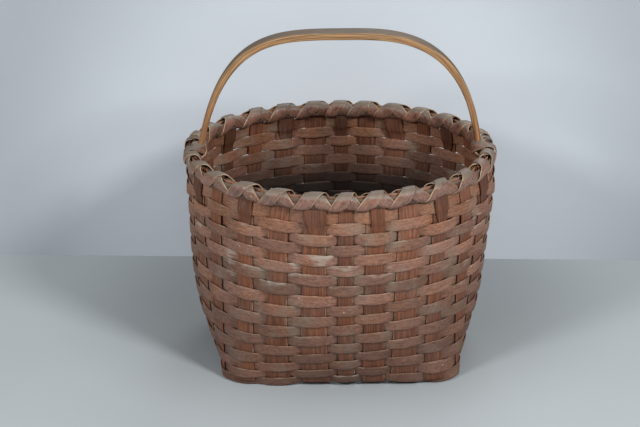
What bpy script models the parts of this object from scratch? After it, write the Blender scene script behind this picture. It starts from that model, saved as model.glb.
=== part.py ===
"""Hand-woven splint basket: square woven base, round rim bound with crossed lashings, fixed bent handle.

Metres, +Z up, standing on z = 0 with the rim centred over the origin. The front faces -Y and the
handle's legs stand at -X and +X. A place round the wall is a "turn" from 0 to 1: 0 is the middle of
the front, 0.25 the middle of the right side, 0.5 the middle of the back and 0.75 the middle of the left.
"""

import math

import bmesh
import bpy
from mathutils import Vector

COLLECTION_NAME = "splint_basket"

# Wall, measured on the middle surface of the weave
RIM_RADIUS = 0.1497
BASE_HALF_SIDE = 0.116
BASE_CORNER_RADIUS = 0.0268
BASE_SHIFT = 0.0051
WALL_HEIGHT = 0.2045
FRONT_DIP = 0.004
FRONT_BELLY = 0.0027
LEFT_BELLY = 0.0017
RIGHT_BELLY = 0.0052
SIDE_SWAY = -0.0018
FULLNESS_POWER = 5.0
BELLY_POWER = 4
SWAY_POWER = 0.7

# Clearance between pieces that touch
GAP = 0.0003

# Uprights: each splint runs up one wall, across the base and up the opposite wall
SPLINT_WIDTH = 0.0255
SPLINT_THICKNESS = 0.0013
SPLINT_TAPER_SHARE = 0.78
CROSSING_MARGIN = 0.0005
HEEL_LIFT = 0.0002
SLOPE_STEP = 0.0002
# place along the wall at the base and at the rim in shares of the splint pitch, and share of full width
FRONT_SPLINT_SHARES = (
    (-2.99, -2.79, 0.77),
    (-1.92, -1.74, 0.885),
    (-0.76, -0.72, 1.0),
    (0.18, 0.12, 0.60),
    (1.00, 0.94, 0.83),
    (1.94, 1.91, 1.0),
    (2.90, 2.95, 0.76),
)
SIDE_SPLINT_SHARES = (
    (-2.93, -2.98, 0.80),
    (-1.97, -1.98, 0.93),
    (-0.97, -1.02, 0.84),
    (0.02, 0.00, 0.86),
    (1.00, 1.03, 0.95),
    (1.96, 2.00, 0.78),
    (2.94, 3.00, 0.82),
)

# Weavers: level rows, each one strip that passes outside one upright and inside the next
ROW_COUNT = 18
ROW_PITCH = 0.01055
ROWS_TOP = 0.1929
ROW_GAP = 0.0009
# the lowest rows crowd together where the wall turns under
FOOT_CROWDING = 0.0038
CROWDING_POWER = 8
WEAVER_THICKNESS = 0.0009
WEAVER_SPRING = 0.0003
FLAT_SHARE = 0.7
SLANT_SHARE = 1.2
RIM_WEAVER_WIDTH = 0.0110
JOINT_GAP = 0.0010
# rows at whose lower edge the uprights bend, close together where the wall is most curved
BEND_ROWS = (0, 1, 2, 3, 5, 7, 10, 14)
FIRST_LAP_UPRIGHT = 15
LAP_SPREAD = 3

# Folded ends of the uprights, tucked behind the third visible row
TUCK_ROWS = 3
TIP_SHARE = 0.34
NECK_SHARE = 0.78

# Rim hoops
HOOP_HEIGHT = 0.0105
HOOP_THICKNESS = 0.0021
HOOP_SPACE = 0.0043
HOOP_SEGMENTS = 56

# Lashings: two wound splints in opposite directions, one over the other
LASHING_THICKNESS = 0.0008
LASHING_WIDTH = 0.0116
LASHING_NECK = 0.0094
LASHING_CLEARANCE = 0.0005
LASHING_LAYER_GAP = 0.00045
LEG_CLEARANCE = 0.0003
SHOULDER_SHARE = 0.78
CREST_SHARE = 0.60
TAIL_SHARE = 0.5

# Handle
HANDLE_HEIGHT = 0.3258
GRIP_WIDTH = 0.0242
LEG_WIDTH = 0.0160
LEG_TIP_WIDTH = 0.0110
HANDLE_THICKNESS = 0.0072
HANDLE_EDGE = 0.0012
LEG_DEPTH = 0.0500
ARCH_STEPS = 10
ARCH_CENTRE_HEIGHT = 0.1000
ARCH_SHIFT = 0.0111
# how square each shoulder of the arch is, and how fast its half span narrows with height
LEFT_SHOULDER_POWER = 3.77
LEFT_LEAN = 0.109
RIGHT_SHOULDER_POWER = 2.82
RIGHT_LEAN = -0.065

UPRIGHTS_PER_SIDE = len(FRONT_SPLINT_SHARES)
UPRIGHT_COUNT = 4 * UPRIGHTS_PER_SIDE
SMALL_TURN = 1e-4

WEAVER_COLOUR = (0.26, 0.17, 0.13)
SPLINT_COLOUR = (0.23, 0.12, 0.07)
HOOP_COLOUR = (0.20, 0.10, 0.06)
LASHING_COLOUR = (0.24, 0.19, 0.15)
HANDLE_COLOUR = (0.42, 0.25, 0.11)


def mix(first, second, share):
    """Value between two others."""
    return first + (second - first) * share


# Wall surface
def base_point(turn):
    """Point of the rounded square at the foot of the wall, spaced evenly by length."""
    straight = BASE_HALF_SIDE - BASE_CORNER_RADIUS
    side = 2 * straight + math.pi / 2 * BASE_CORNER_RADIUS
    wall = math.floor(turn * 4 + 0.5)
    along = (turn * 4 - wall) * side
    bend = max(abs(along) - straight, 0.0) / BASE_CORNER_RADIUS
    across = min(abs(along), straight) + BASE_CORNER_RADIUS * math.sin(bend)
    out = straight + BASE_CORNER_RADIUS * math.cos(bend)
    angle = wall * math.pi / 2
    x = math.copysign(across, along)
    cosine, sine = math.cos(angle), math.sin(angle)
    return Vector((x * cosine + out * sine, x * sine - out * cosine - BASE_SHIFT, 0.0))


def roundness(height):
    """How far the wall has turned from the square base to the round rim."""
    return 1 - (1 - min(max(height / WALL_HEIGHT, 0.0), 1.0)) ** FULLNESS_POWER


def dip(turn, height):
    """How far the wall hangs below its level at the front."""
    return FRONT_DIP * height / WALL_HEIGHT * max(math.cos(2 * math.pi * turn), 0.0) ** 2


def belly(turn):
    """How far the wall swells beyond the rim."""
    side = math.sin(2 * math.pi * turn)
    return mix(FRONT_BELLY, RIGHT_BELLY if side > 0 else LEFT_BELLY, side ** 2)


def smooth_wall_point(turn, height):
    """Point of the wall's middle surface."""
    angle = 2 * math.pi * turn
    share = min(height / hoop_bottom(), 1.0)
    radius = RIM_RADIUS + belly(turn) * math.sin(math.pi * share ** BELLY_POWER)
    round_point = Vector((radius * math.sin(angle), -radius * math.cos(angle), 0.0))
    point = base_point(turn).lerp(round_point, roundness(height))
    point.x += SIDE_SWAY * math.sin(math.pi * share ** SWAY_POWER)
    point.z = height - dip(turn, height)
    return point


def bend_heights():
    """Heights at which the uprights bend; the wall is straight between them."""
    rows = [row_line(row) for row in BEND_ROWS]
    heel = SPLINT_THICKNESS / 2 + HEEL_LIFT
    return [heel] + rows + [row_top(ROW_COUNT - 1), hoop_bottom(), rim_top()]


def wall_point(turn, height):
    """Point of the wall as the uprights follow it, straight from bend to bend."""
    heights = bend_heights()
    below = max([level for level in heights if level <= height], default=heights[0])
    above = min([level for level in heights if level > height], default=None)
    if above is None:
        return smooth_wall_point(turn, height)
    share = (height - below) / (above - below)
    return smooth_wall_point(turn, below).lerp(smooth_wall_point(turn, above), share)


def wall_frame(turn, height):
    """Point of the wall, its outward direction and its direction upward along the wall."""
    up = (wall_point(turn, height + SLOPE_STEP) - wall_point(turn, height - SLOPE_STEP)).normalized()
    along = wall_point(turn + SMALL_TURN, height) - wall_point(turn - SMALL_TURN, height)
    return wall_point(turn, height), along.cross(up).normalized(), up


def girth(height):
    """Length round the wall."""
    base = 8 * (BASE_HALF_SIDE - BASE_CORNER_RADIUS) + 2 * math.pi * BASE_CORNER_RADIUS
    return mix(base, 2 * math.pi * RIM_RADIUS, roundness(height))


# Rows
def row_line(row):
    """Height of the line below a row."""
    crowding = FOOT_CROWDING * (1 - row / ROW_COUNT) ** CROWDING_POWER
    return ROWS_TOP - ROW_PITCH * (ROW_COUNT - row) + crowding


def row_width(row):
    """Width of a weaver."""
    if row < ROW_COUNT:
        return row_line(row + 1) - row_line(row) - ROW_GAP
    return RIM_WEAVER_WIDTH


def row_top(row):
    """Height of a weaver's upper edge."""
    if row < ROW_COUNT:
        return row_line(row + 1) - ROW_GAP / 2
    return hoop_bottom() + GAP + RIM_WEAVER_WIDTH


def row_height(row):
    """Height of a weaver's middle line."""
    return row_top(row) - row_width(row) / 2


def rim_top():
    """Height of the upper edge of the wide row between the rim hoops."""
    return row_top(ROW_COUNT)


def hoop_bottom():
    """Lower edge of the rim hoops: the lashings pass between it and the row below."""
    return ROWS_TOP + HOOP_SPACE


# Uprights
def upright_shares(index):
    """Places and width share of an upright, in turn order; opposite walls share their splints."""
    wall, number = divmod(index % UPRIGHT_COUNT, UPRIGHTS_PER_SIDE)
    table = FRONT_SPLINT_SHARES if wall % 2 == 0 else SIDE_SPLINT_SHARES
    if wall < 2:
        return table[number]
    base, rim, width = table[UPRIGHTS_PER_SIDE - 1 - number]
    return -base, -rim, width


def upright_turn(index, height):
    """Turn of an upright's middle line; indexes past one round keep counting turns."""
    rounds, rest = divmod(index, UPRIGHT_COUNT)
    base, rim, _ = upright_shares(rest)
    place = mix(base, rim, min(height / WALL_HEIGHT, 1.0))
    return rounds + rest // UPRIGHTS_PER_SIDE / 4 + place / UPRIGHT_COUNT


def upright_width(index, height):
    """Width of an upright, which tapers to the rim."""
    taper = mix(1.0, SPLINT_TAPER_SHARE, min(height / WALL_HEIGHT, 1.0))
    return SPLINT_WIDTH * upright_shares(index)[2] * taper


def upright_edges(index, height):
    """Turns of an upright's two edges."""
    half = upright_width(index, height) / 2 / girth(height)
    middle = upright_turn(index, height)
    return middle - half, middle + half


def gap_turn(index):
    """Turn of the middle of the gap between an upright and the next, at the rim."""
    return (upright_edges(index, WALL_HEIGHT)[1] + upright_edges(index + 1, WALL_HEIGHT)[0]) / 2


def is_outside(index, row):
    """Whether the weaver passes outside the upright."""
    return (index + row) % 2 == 1


# Weave
def edge_clearance():
    """Distance from the wall's middle surface at which a slanted weaver clears an upright's edge."""
    return SPLINT_THICKNESS / 2 + GAP + WEAVER_THICKNESS / 2 * SLANT_SHARE


def row_swing(row):
    """How far a weaver stands off the wall's middle surface over an upright."""
    height = row_height(row)
    least = 1.0
    for index in range(UPRIGHT_COUNT):
        first = upright_width(index, height)
        second = upright_width(index + 1, height)
        pitch = (upright_turn(index + 1, height) - upright_turn(index, height)) * girth(height)
        run = pitch - FLAT_SHARE * (first + second) / 2
        least = min(least, 1 - (1 - FLAT_SHARE) * max(first, second) / run)
    spring = WEAVER_SPRING if row < ROW_COUNT else 0.0
    swing = (edge_clearance() + spring) / least
    if row == ROW_COUNT - TUCK_ROWS:
        tip = SPLINT_THICKNESS + GAP + SPLINT_THICKNESS / 2
        swing = max(swing, tip + GAP + WEAVER_THICKNESS / 2 + chord_sag())
    return swing


def lap_step():
    """Distance between the two layers where a weaver laps over its own start."""
    return WEAVER_THICKNESS * SLANT_SHARE + GAP


def is_covered(row):
    """Whether the hoops or the folded ends of the uprights hold the row, with no room for a lap."""
    return row == ROW_COUNT or row >= ROW_COUNT - TUCK_ROWS and row % 2 == 1


def weaver_places(row, start):
    """Turns and offsets along a weaver: it laps over its own start, or meets it under a fold."""
    height, swing = row_height(row), row_swing(row)
    last = UPRIGHT_COUNT if is_covered(row) else UPRIGHT_COUNT + 1
    places = []
    for step in range(last + 1):
        offset = swing if is_outside(start + step, row) else -swing
        if not is_covered(row) and step in (1, UPRIGHT_COUNT):
            offset += math.copysign(lap_step(), offset)
        left, right = upright_edges(start + step, height)
        middle = (left + right) / 2
        places += [(mix(middle, left, FLAT_SHARE), offset), (mix(middle, right, FLAT_SHARE), offset)]
    if is_covered(row):
        joint = JOINT_GAP / 2 / girth(height)
        first, final = sum(upright_edges(start, height)) / 2, sum(upright_edges(start + last, height)) / 2
        places[0] = (first + joint, places[0][1])
        places[-1] = (final - joint, places[-1][1])
    return places


def weaver_sections(row):
    """Lower and upper edge points of a weaver, from its start to its end."""
    height, half = row_height(row), row_width(row) / 2
    start = FIRST_LAP_UPRIGHT + 2 * (row % LAP_SPREAD) + row % 2
    sections = []
    for turn, offset in weaver_places(row, start):
        point, out, up = wall_frame(turn, height)
        point = point + out * offset
        sections.append((point - up * half, point + up * half))
    return sections


def chord_sag():
    """How far the flat face of the widest upright lies inside the round rim."""
    return (SPLINT_WIDTH * SPLINT_TAPER_SHARE) ** 2 / (8 * RIM_RADIUS)


def over_row(row):
    """Distance from an upright to a fold that passes over a weaver."""
    return row_swing(row) + WEAVER_THICKNESS / 2 + GAP + SPLINT_THICKNESS / 2 + chord_sag()


def fold_points():
    """Path of a folded end as distance from the upright, height and width share, from crest to tip."""
    last, tuck = ROW_COUNT - 1, SPLINT_THICKNESS + GAP
    over = row_swing(ROW_COUNT)
    crest = rim_top() + GAP + SPLINT_THICKNESS / 2
    covered = over_row(last)
    foot = row_top(last) - row_width(last) - GAP
    return (
        (SPLINT_THICKNESS / 2, crest, 1.0),
        (over - SPLINT_THICKNESS / 2, crest, 1.0),
        (over, rim_top(), 1.0),
        (over, hoop_bottom(), 1.0),
        (covered, row_top(last) + GAP, 1.0),
        (covered, foot, NECK_SHARE),
        (tuck, foot - (covered - tuck), NECK_SHARE),
        (tuck, row_height(ROW_COUNT - TUCK_ROWS), TIP_SHARE),
    )


def upright_sections(index):
    """Edge points of one upright, from the foot of the wall to the tip of its folded end."""
    sections = []
    for height in bend_heights():
        left, right = upright_edges(index, height)
        sections.append((wall_point(left, height), wall_point(right, height)))
    side = 1 if index % 2 == 0 else -1
    for distance, height, width_share in fold_points():
        left, right = (wall_point(turn, height) for turn in upright_edges(index, height))
        out = (right - left).cross(Vector((0, 0, 1))).normalized()
        middle = (left + right) / 2 + out * distance * side
        half = (right - left) / 2 * width_share
        sections.append((middle - half, middle + half))
    return sections


def crossing_height(index, other):
    """Height of a splint's middle where it crosses another in the base."""
    lowest = SPLINT_THICKNESS / 2
    front_back_below = (index + other) % 2 == 0
    runs_front_back = index < other
    return lowest if front_back_below == runs_front_back else lowest + SPLINT_THICKNESS + GAP


def base_edges(index):
    """Points of an upright's two edges on the base outline."""
    return [smooth_wall_point(turn, 0.0) for turn in upright_edges(index, 0.0)]


def base_sections(index, others, axis):
    """Edge points of a splint across the base; axis is 1 when it runs front to back, 0 side to side."""
    sections = []
    left, right = base_edges(index)
    for other in others:
        spans = [point[axis] for point in base_edges(other)]
        low, high = min(spans) - CROSSING_MARGIN, max(spans) + CROSSING_MARGIN
        for place in (low, high) if axis else (high, low):
            pair = []
            for edge in (left, right):
                point = Vector((edge.x, edge.y, crossing_height(index, other)))
                point[axis] = place
                pair.append(point)
            sections.append(tuple(pair))
    return sections


def splint_sections(index):
    """Edge points of a whole splint: down one wall, across the base and up the opposite wall."""
    side_splints = range(UPRIGHTS_PER_SIDE, 2 * UPRIGHTS_PER_SIDE)
    front_splints = range(UPRIGHTS_PER_SIDE)
    runs_front_back = index in front_splints
    opposite = (3 if runs_front_back else 5) * UPRIGHTS_PER_SIDE - 1 - index
    crossed = side_splints if runs_front_back else reversed(front_splints)
    far_end = [(right, left) for left, right in upright_sections(opposite)]
    base = base_sections(index, crossed, 1 if runs_front_back else 0)
    return upright_sections(index)[::-1] + base + far_end


# Rim
def rim_point(turn, offset, height):
    """Point at a distance outside (or inside, if negative) the wall's middle surface at the rim."""
    angle = 2 * math.pi * turn
    radius = RIM_RADIUS + offset
    return Vector((radius * math.sin(angle), -radius * math.cos(angle), height - dip(turn, height)))


def facet_sag():
    """How far the middle of a hoop's flat facet lies inside its round."""
    return RIM_RADIUS * (1 - math.cos(math.pi / HOOP_SEGMENTS))


def hoop_near():
    """Distance from the wall's middle surface to the near face of either hoop."""
    return row_swing(ROW_COUNT) + SPLINT_THICKNESS / 2 + GAP + chord_sag() + facet_sag()


def hoop_far():
    """Distance from the wall's middle surface to the far face of either hoop."""
    return hoop_near() + HOOP_THICKNESS


def hoop_sections(side):
    """Lower and upper edge points round a hoop; side is 1 outside the wall, -1 inside."""
    offset = side * (hoop_near() + hoop_far()) / 2
    turns = [step / HOOP_SEGMENTS for step in range(HOOP_SEGMENTS)]
    low, high = hoop_bottom(), hoop_bottom() + HOOP_HEIGHT
    return [(rim_point(turn, offset, low), rim_point(turn, offset, high)) for turn in turns]


def leg_outer():
    """Distance inside the wall's middle surface of the handle's outer face."""
    return hoop_far() + GAP + facet_sag() + LEG_WIDTH ** 2 / (8 * RIM_RADIUS)


def leg_distance(turn):
    """Distance round the rim from the nearer leg of the handle, with its sign."""
    return (turn - leg_turn(turn)) * 2 * math.pi * RIM_RADIUS


def leg_turn(turn):
    """Turn of the nearer leg of the handle."""
    return round((turn - 0.25) * 2) / 2 + 0.25


def leg_corner(distance):
    """Distance from a leg's middle at which a lashing turns round the corner of the leg."""
    return LEG_WIDTH / 2 + LEG_CLEARANCE + distance


def leg_reach(turn, distance):
    """How much further inside the lashings pass, where they go round a leg of the handle."""
    ramp = (abs(leg_distance(turn)) - leg_corner(distance)) / LASHING_WIDTH
    full = leg_outer() + HANDLE_THICKNESS - hoop_far()
    return full * (1 - min(max(ramp, 0.0), 1.0))


def lashing_point(turn, side, outset, height, distance):
    """Point of a lashing beside or between the hoops; side is 1 outside, -1 inside, or a share of these."""
    inner_reach = leg_reach(turn, distance) if side == -1 else 0.0
    return rim_point(turn, side * (hoop_far() + inner_reach) + math.copysign(outset, side), height)


def crossing_turns(middle, distance):
    """Turns at which one edge of a lashing meets a corner of the leg."""
    corner, half = leg_corner(distance), LASHING_WIDTH / 2
    places = sorted((-corner - half, half - corner, corner - half, corner + half))
    return [middle + place / (2 * math.pi * RIM_RADIUS) for place in places]


def leg_stations(start, end, direction, distance):
    """Stations of a lashing across the inner face of a leg, falling for direction 1, rising for -1."""
    corner = distance * math.tan(math.pi / 8)
    low, high = hoop_bottom() - corner, hoop_bottom() + HOOP_HEIGHT + corner
    turns = crossing_turns(leg_turn((start + end) / 2), distance)
    foot, head = (end, turns[0]) if direction > 0 else (start, turns[-1])
    return [
        (turn, -1, distance, mix(low, high, (turn - foot) / (head - foot)), LASHING_WIDTH) for turn in turns
    ]


def lashing_loop(gap_index, direction, distance):
    """Stations of one loop as turn, side, outset, height and width, from one gap to the next."""
    start, end = gap_turn(gap_index), gap_turn(gap_index + 1)
    crest = upright_turn(gap_index + 1, WALL_HEIGHT)
    at_leg = leg_reach(crest, distance) > 0
    if at_leg:
        crest = crossing_turns(leg_turn(crest), distance)[0 if direction > 0 else -1]
    corner = distance * math.tan(math.pi / 8)
    low, high = hoop_bottom(), hoop_bottom() + HOOP_HEIGHT + corner
    top = rim_top() + GAP + SPLINT_THICKNESS + distance
    up, down = direction, -direction
    first, second = mix(start, crest, SHOULDER_SHARE), mix(end, crest, SHOULDER_SHARE)
    rise = [
        (start, up, distance, low - corner, LASHING_NECK),
        (first, up, distance, high, LASHING_WIDTH),
    ]
    fall = [
        (second, down, distance, high, LASHING_WIDTH),
        (end, down, distance, low - corner, LASHING_NECK),
    ]
    if at_leg and down < 0:
        fall = leg_stations(start, end, direction, distance) + fall[1:]
    if at_leg and up < 0:
        rise = rise[:1] + leg_stations(start, end, direction, distance)
    before, after = mix(rise[-1][0], crest, 0.5), mix(fall[0][0], crest, 0.5)
    over = [
        (before, up * CREST_SHARE, 0.0, top, LASHING_WIDTH),
        (after, down * CREST_SHARE, 0.0, top, LASHING_WIDTH),
    ]
    under = [
        (end, down, corner, low - distance, LASHING_NECK),
        (end, up, corner, low - distance, LASHING_NECK),
    ]
    return rise + over + fall + under


def lashing_sections(first_gap, last_gap, direction, distance):
    """Edge points of one lashing; direction 1 climbs the outside first, -1 climbs the inside first."""
    stations = []
    for gap_index in range(first_gap, last_gap):
        stations += lashing_loop(gap_index, direction, distance)
    turn, side, _, height, width = stations[-1]
    stations[-1] = (turn, side * TAIL_SHARE, 0.0, height, width)
    sections = []
    for turn, side, outset, height, width in stations:
        half = width / 2 / (2 * math.pi * RIM_RADIUS)
        edges = (turn - half, turn + half)
        sections.append(tuple(lashing_point(edge, side, outset, height, distance) for edge in edges))
    return sections


def least_self_gap(sections, loop_stations):
    """Least gap between stations of a lashing that lie more than half a loop apart."""
    least = math.inf
    for first, pair in enumerate(sections):
        for other in sections[first + loop_stations // 2 + 1:]:
            for start in pair:
                for end in other:
                    least = min(least, (start - end).length - LASHING_THICKNESS)
    return least


# Handle
def leg_half_span():
    """Distance from the middle to the handle's outer face where the legs stand in the rim."""
    return RIM_RADIUS - leg_outer()


def arch_points(side, power, lean):
    """Points of one half of the arch as x, height and width, from the rim to just short of the peak."""
    foot = hoop_bottom() + HOOP_HEIGHT
    rise_share = (foot - ARCH_CENTRE_HEIGHT) / (HANDLE_HEIGHT - ARCH_CENTRE_HEIGHT)
    first_angle = math.asin(rise_share ** (power / 2))
    foot_span = leg_half_span() - side * ARCH_SHIFT
    reach = foot_span / math.cos(first_angle) ** (2 / power)
    points = []
    for step in range(ARCH_STEPS):
        angle = mix(first_angle, math.pi / 2, step / ARCH_STEPS)
        height = mix(ARCH_CENTRE_HEIGHT, HANDLE_HEIGHT, math.sin(angle) ** (2 / power))
        span = (reach + lean * (foot - height)) * math.cos(angle) ** (2 / power)
        width = mix(LEG_WIDTH, GRIP_WIDTH, step / ARCH_STEPS)
        points.append((ARCH_SHIFT + side * span, height, width))
    return points


def handle_sections():
    """Edge points along the handle's outer face, from the tip of the left leg to the tip of the right."""
    left = arch_points(-1, LEFT_SHOULDER_POWER, LEFT_LEAN)
    right = arch_points(1, RIGHT_SHOULDER_POWER, RIGHT_LEAN)
    span, tip = leg_half_span(), rim_top() - LEG_DEPTH
    path = [(-span, tip, LEG_TIP_WIDTH), (-span, hoop_bottom(), LEG_WIDTH)]
    path += left + [(ARCH_SHIFT, HANDLE_HEIGHT, GRIP_WIDTH)] + right[::-1]
    path += [(span, hoop_bottom(), LEG_WIDTH), (span, tip, LEG_TIP_WIDTH)]
    return [(Vector((x, -width / 2, z)), Vector((x, width / 2, z))) for x, z, width in path]


# Making objects
def make_material(name, colour, roughness):
    """Plain wood colour for one piece."""
    material = bpy.data.materials.new(name)
    material.use_nodes = True
    shader = material.node_tree.nodes["Principled BSDF"]
    shader.inputs["Base Color"].default_value = (*colour, 1.0)
    shader.inputs["Roughness"].default_value = roughness
    shader.inputs["Metallic"].default_value = 0.0
    return material


def make_strip(collection, name, sections, thickness, colour, roughness, closed=False, side=0.0):
    """Solid strip from pairs of edge points; side 0 puts the points in the middle of its thickness."""
    mesh = bpy.data.meshes.new(name)
    sheet = bmesh.new()
    pairs = [(sheet.verts.new(left), sheet.verts.new(right)) for left, right in sections]
    following = pairs[1:] + pairs[:1] if closed else pairs[1:]
    for (left, right), (next_left, next_right) in zip(pairs, following):
        if (left.co - next_right.co).length < (right.co - next_left.co).length:
            sheet.faces.new((left, right, next_right))
            sheet.faces.new((left, next_right, next_left))
        else:
            sheet.faces.new((left, right, next_left))
            sheet.faces.new((right, next_right, next_left))
    sheet.to_mesh(mesh)
    sheet.free()
    strip = bpy.data.objects.new(name, mesh)
    collection.objects.link(strip)
    mesh.materials.append(make_material(name, colour, roughness))
    solid = strip.modifiers.new("thickness", "SOLIDIFY")
    solid.thickness = thickness
    solid.offset = side
    solid.use_even_offset = True
    solid.use_quality_normals = True
    return strip


def make_splints(collection):
    """The flat splints that cross in the base and stand up as the wall's uprights."""
    for number in range(2 * UPRIGHTS_PER_SIDE):
        family = "front_back_splint" if number < UPRIGHTS_PER_SIDE else "side_splint"
        name = f"{family}_{number % UPRIGHTS_PER_SIDE + 1}"
        make_strip(collection, name, splint_sections(number), SPLINT_THICKNESS, SPLINT_COLOUR, 0.7)


def make_weavers(collection):
    """The level rows, the last of them held between the rim hoops."""
    for row in range(ROW_COUNT + 1):
        name = f"weaver_row_{row + 1:02d}"
        make_strip(collection, name, weaver_sections(row), WEAVER_THICKNESS, WEAVER_COLOUR, 0.75)


def make_hoops(collection):
    """The two rim hoops that clamp the top of the weave."""
    for name, side in (("inner_rim_hoop", -1), ("outer_rim_hoop", 1)):
        sections = hoop_sections(side)
        make_strip(collection, name, sections, HOOP_THICKNESS, HOOP_COLOUR, 0.6, closed=True)


def make_lashings(collection):
    """The crossed lashings: each direction is two lengths, joined beside the handle's legs."""
    quarter = UPRIGHT_COUNT // 4
    right_gap = quarter + quarter // 2 - 1
    left_gap = right_gap - 2 * quarter
    under = LASHING_CLEARANCE + LASHING_THICKNESS / 2
    over = under + LASHING_THICKNESS + LASHING_LAYER_GAP
    for layer, direction, distance in (("under", -1, under), ("over", 1, over)):
        for place, first in (("front", left_gap), ("back", right_gap)):
            sections = lashing_sections(first, first + 2 * quarter, direction, distance)
            loop_stations = len(sections) // (2 * quarter)
            name = f"{layer}_lashing_{place}"
            make_strip(collection, name, sections, LASHING_THICKNESS, LASHING_COLOUR, 0.55)
            gap = least_self_gap(sections, loop_stations)
            print(f"{name}: {2 * quarter} loops, least gap to itself {gap * 1000:.2f} mm")


def make_handle(collection):
    """The bent handle, whose legs stand inside the inner hoop."""
    handle = make_strip(
        collection, "handle", handle_sections(), HANDLE_THICKNESS, HANDLE_COLOUR, 0.5, side=1.0
    )
    edges = handle.modifiers.new("soft_edges", "BEVEL")
    edges.width = HANDLE_EDGE
    edges.segments = 1
    edges.limit_method = "ANGLE"
    edges.angle_limit = math.radians(60)
    handle.data.shade_smooth()
    handle.data.set_sharp_from_angle(angle=math.radians(30))


def main():
    for old in list(bpy.data.objects):
        bpy.data.objects.remove(old, do_unlink=True)
    collection = bpy.data.collections.new(COLLECTION_NAME)
    bpy.context.scene.collection.children.link(collection)
    make_splints(collection)
    make_weavers(collection)
    make_hoops(collection)
    make_lashings(collection)
    make_handle(collection)


main()
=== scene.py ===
"""Looks of a hand-woven splint basket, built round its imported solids.

Metres, +Z up, the front faces -Y. A place round the wall is a "turn" from 0 to 1: 0 is the middle
of the front, 0.25 of the right side, 0.5 of the back and 0.75 of the left.
"""

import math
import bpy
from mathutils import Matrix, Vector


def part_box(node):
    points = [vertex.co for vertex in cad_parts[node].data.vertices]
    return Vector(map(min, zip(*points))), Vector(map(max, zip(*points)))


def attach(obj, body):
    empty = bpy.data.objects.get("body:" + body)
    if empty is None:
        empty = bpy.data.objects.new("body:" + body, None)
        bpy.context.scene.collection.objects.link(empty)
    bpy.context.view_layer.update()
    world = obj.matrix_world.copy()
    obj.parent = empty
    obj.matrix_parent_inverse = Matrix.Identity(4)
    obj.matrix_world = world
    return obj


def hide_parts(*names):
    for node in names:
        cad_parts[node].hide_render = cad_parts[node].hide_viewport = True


bl_info = {
    "name": "Splint basket",
    "version": (1, 0, 0),
    "blender": (4, 5, 0),
    "location": "3D View > Sidebar > Basket",
    "description": "Builds a woven splint basket with a lashed rim and a bent handle",
    "category": "Object",
}

from collections import namedtuple

import bpy
from mathutils import Quaternion, Vector, noise

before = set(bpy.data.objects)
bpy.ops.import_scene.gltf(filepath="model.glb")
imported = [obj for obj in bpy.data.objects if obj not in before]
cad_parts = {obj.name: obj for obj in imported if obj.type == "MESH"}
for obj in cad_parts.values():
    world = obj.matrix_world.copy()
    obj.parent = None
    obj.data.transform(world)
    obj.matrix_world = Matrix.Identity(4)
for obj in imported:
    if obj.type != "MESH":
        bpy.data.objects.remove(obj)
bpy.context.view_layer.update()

# Wall, measured on the middle surface of the weave
RIM_RADIUS = 0.1497
BASE_HALF_SIDE = 0.116
BASE_CORNER_RADIUS = 0.0268
BASE_SHIFT = 0.0051
WALL_HEIGHT = 0.2045
FRONT_DIP = 0.004
FRONT_BELLY = 0.0027
LEFT_BELLY = 0.0017
RIGHT_BELLY = 0.0052
SIDE_SWAY = -0.0018
FULLNESS_POWER = 5.0
BELLY_POWER = 4
SWAY_POWER = 0.7
SLOPE_STEP = 0.0004
TURN_STEP = 2e-4

# Strips: gap between two that touch, width of the worn line along an edge
TOUCH_GAP = 0.0002
WORN_WIDTH = 0.0012

# Painted shade on the inside of the wall below a height, a little less near the base
DARK_START = 0.170
DARK_DEPTH = 0.058
FOOT_DARKNESS = 0.6
FOOT_DARK_BOTTOM = 0.030
FOOT_DARK_RISE = 0.070

# Uprights: place along the wall at the base and at the rim in shares of the pitch, share of full width
SPLINT_WIDTH = 0.0255
SPLINT_THICKNESS = 0.0013
SPLINT_TAPER_SHARE = 0.78
FRONT_SPLINT_SHARES = (
    (-2.99, -2.79, 0.77),
    (-1.92, -1.74, 0.885),
    (-0.76, -0.72, 1.0),
    (0.18, 0.12, 0.60),
    (1.00, 0.94, 0.83),
    (1.94, 1.91, 1.0),
    (2.90, 2.95, 0.76),
)
SIDE_SPLINT_SHARES = (
    (-2.82, -2.98, 0.76),
    (-1.97, -1.98, 0.93),
    (-0.97, -1.02, 0.84),
    (0.02, 0.00, 0.86),
    (1.00, 1.03, 0.95),
    (1.96, 2.00, 0.78),
    (2.94, 3.00, 0.82),
)
# width shares of the folded ends that were split narrower than their upright
NARROW_FOLDS = {4: 0.62}
UPRIGHTS_PER_SIDE = 7
UPRIGHT_COUNT = 28
UPRIGHT_LEVELS = 78
UPRIGHT_FOOT = 0.0042
# how far the edges fray, as a share of half the width, and how far weavers press an upright aside
FRAY = 0.018
PRESS = 0.0002

# Rows of weavers
ROW_COUNT = 18
ROW_PITCH = 0.01055
ROWS_TOP = 0.1929
ROW_GAP = 0.0009
FOOT_CROWDING = 0.0038
CROWDING_POWER = 8
CORNER_SAG = 0.0055
CORNER_SAG_TOP = 0.045
LEFT_SAG = 0.0098
LEFT_SAG_BOTTOM = -0.030
LEFT_SAG_TOP = 0.125
LOWEST_LINE = 0.0012
LEFT_SAG_TURN = -0.11
LEFT_SAG_REACH = 0.14
WEAVER_THICKNESS = 0.0009
RIM_WEAVER_WIDTH = 0.0110
TUCK_ROWS = 3
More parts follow.
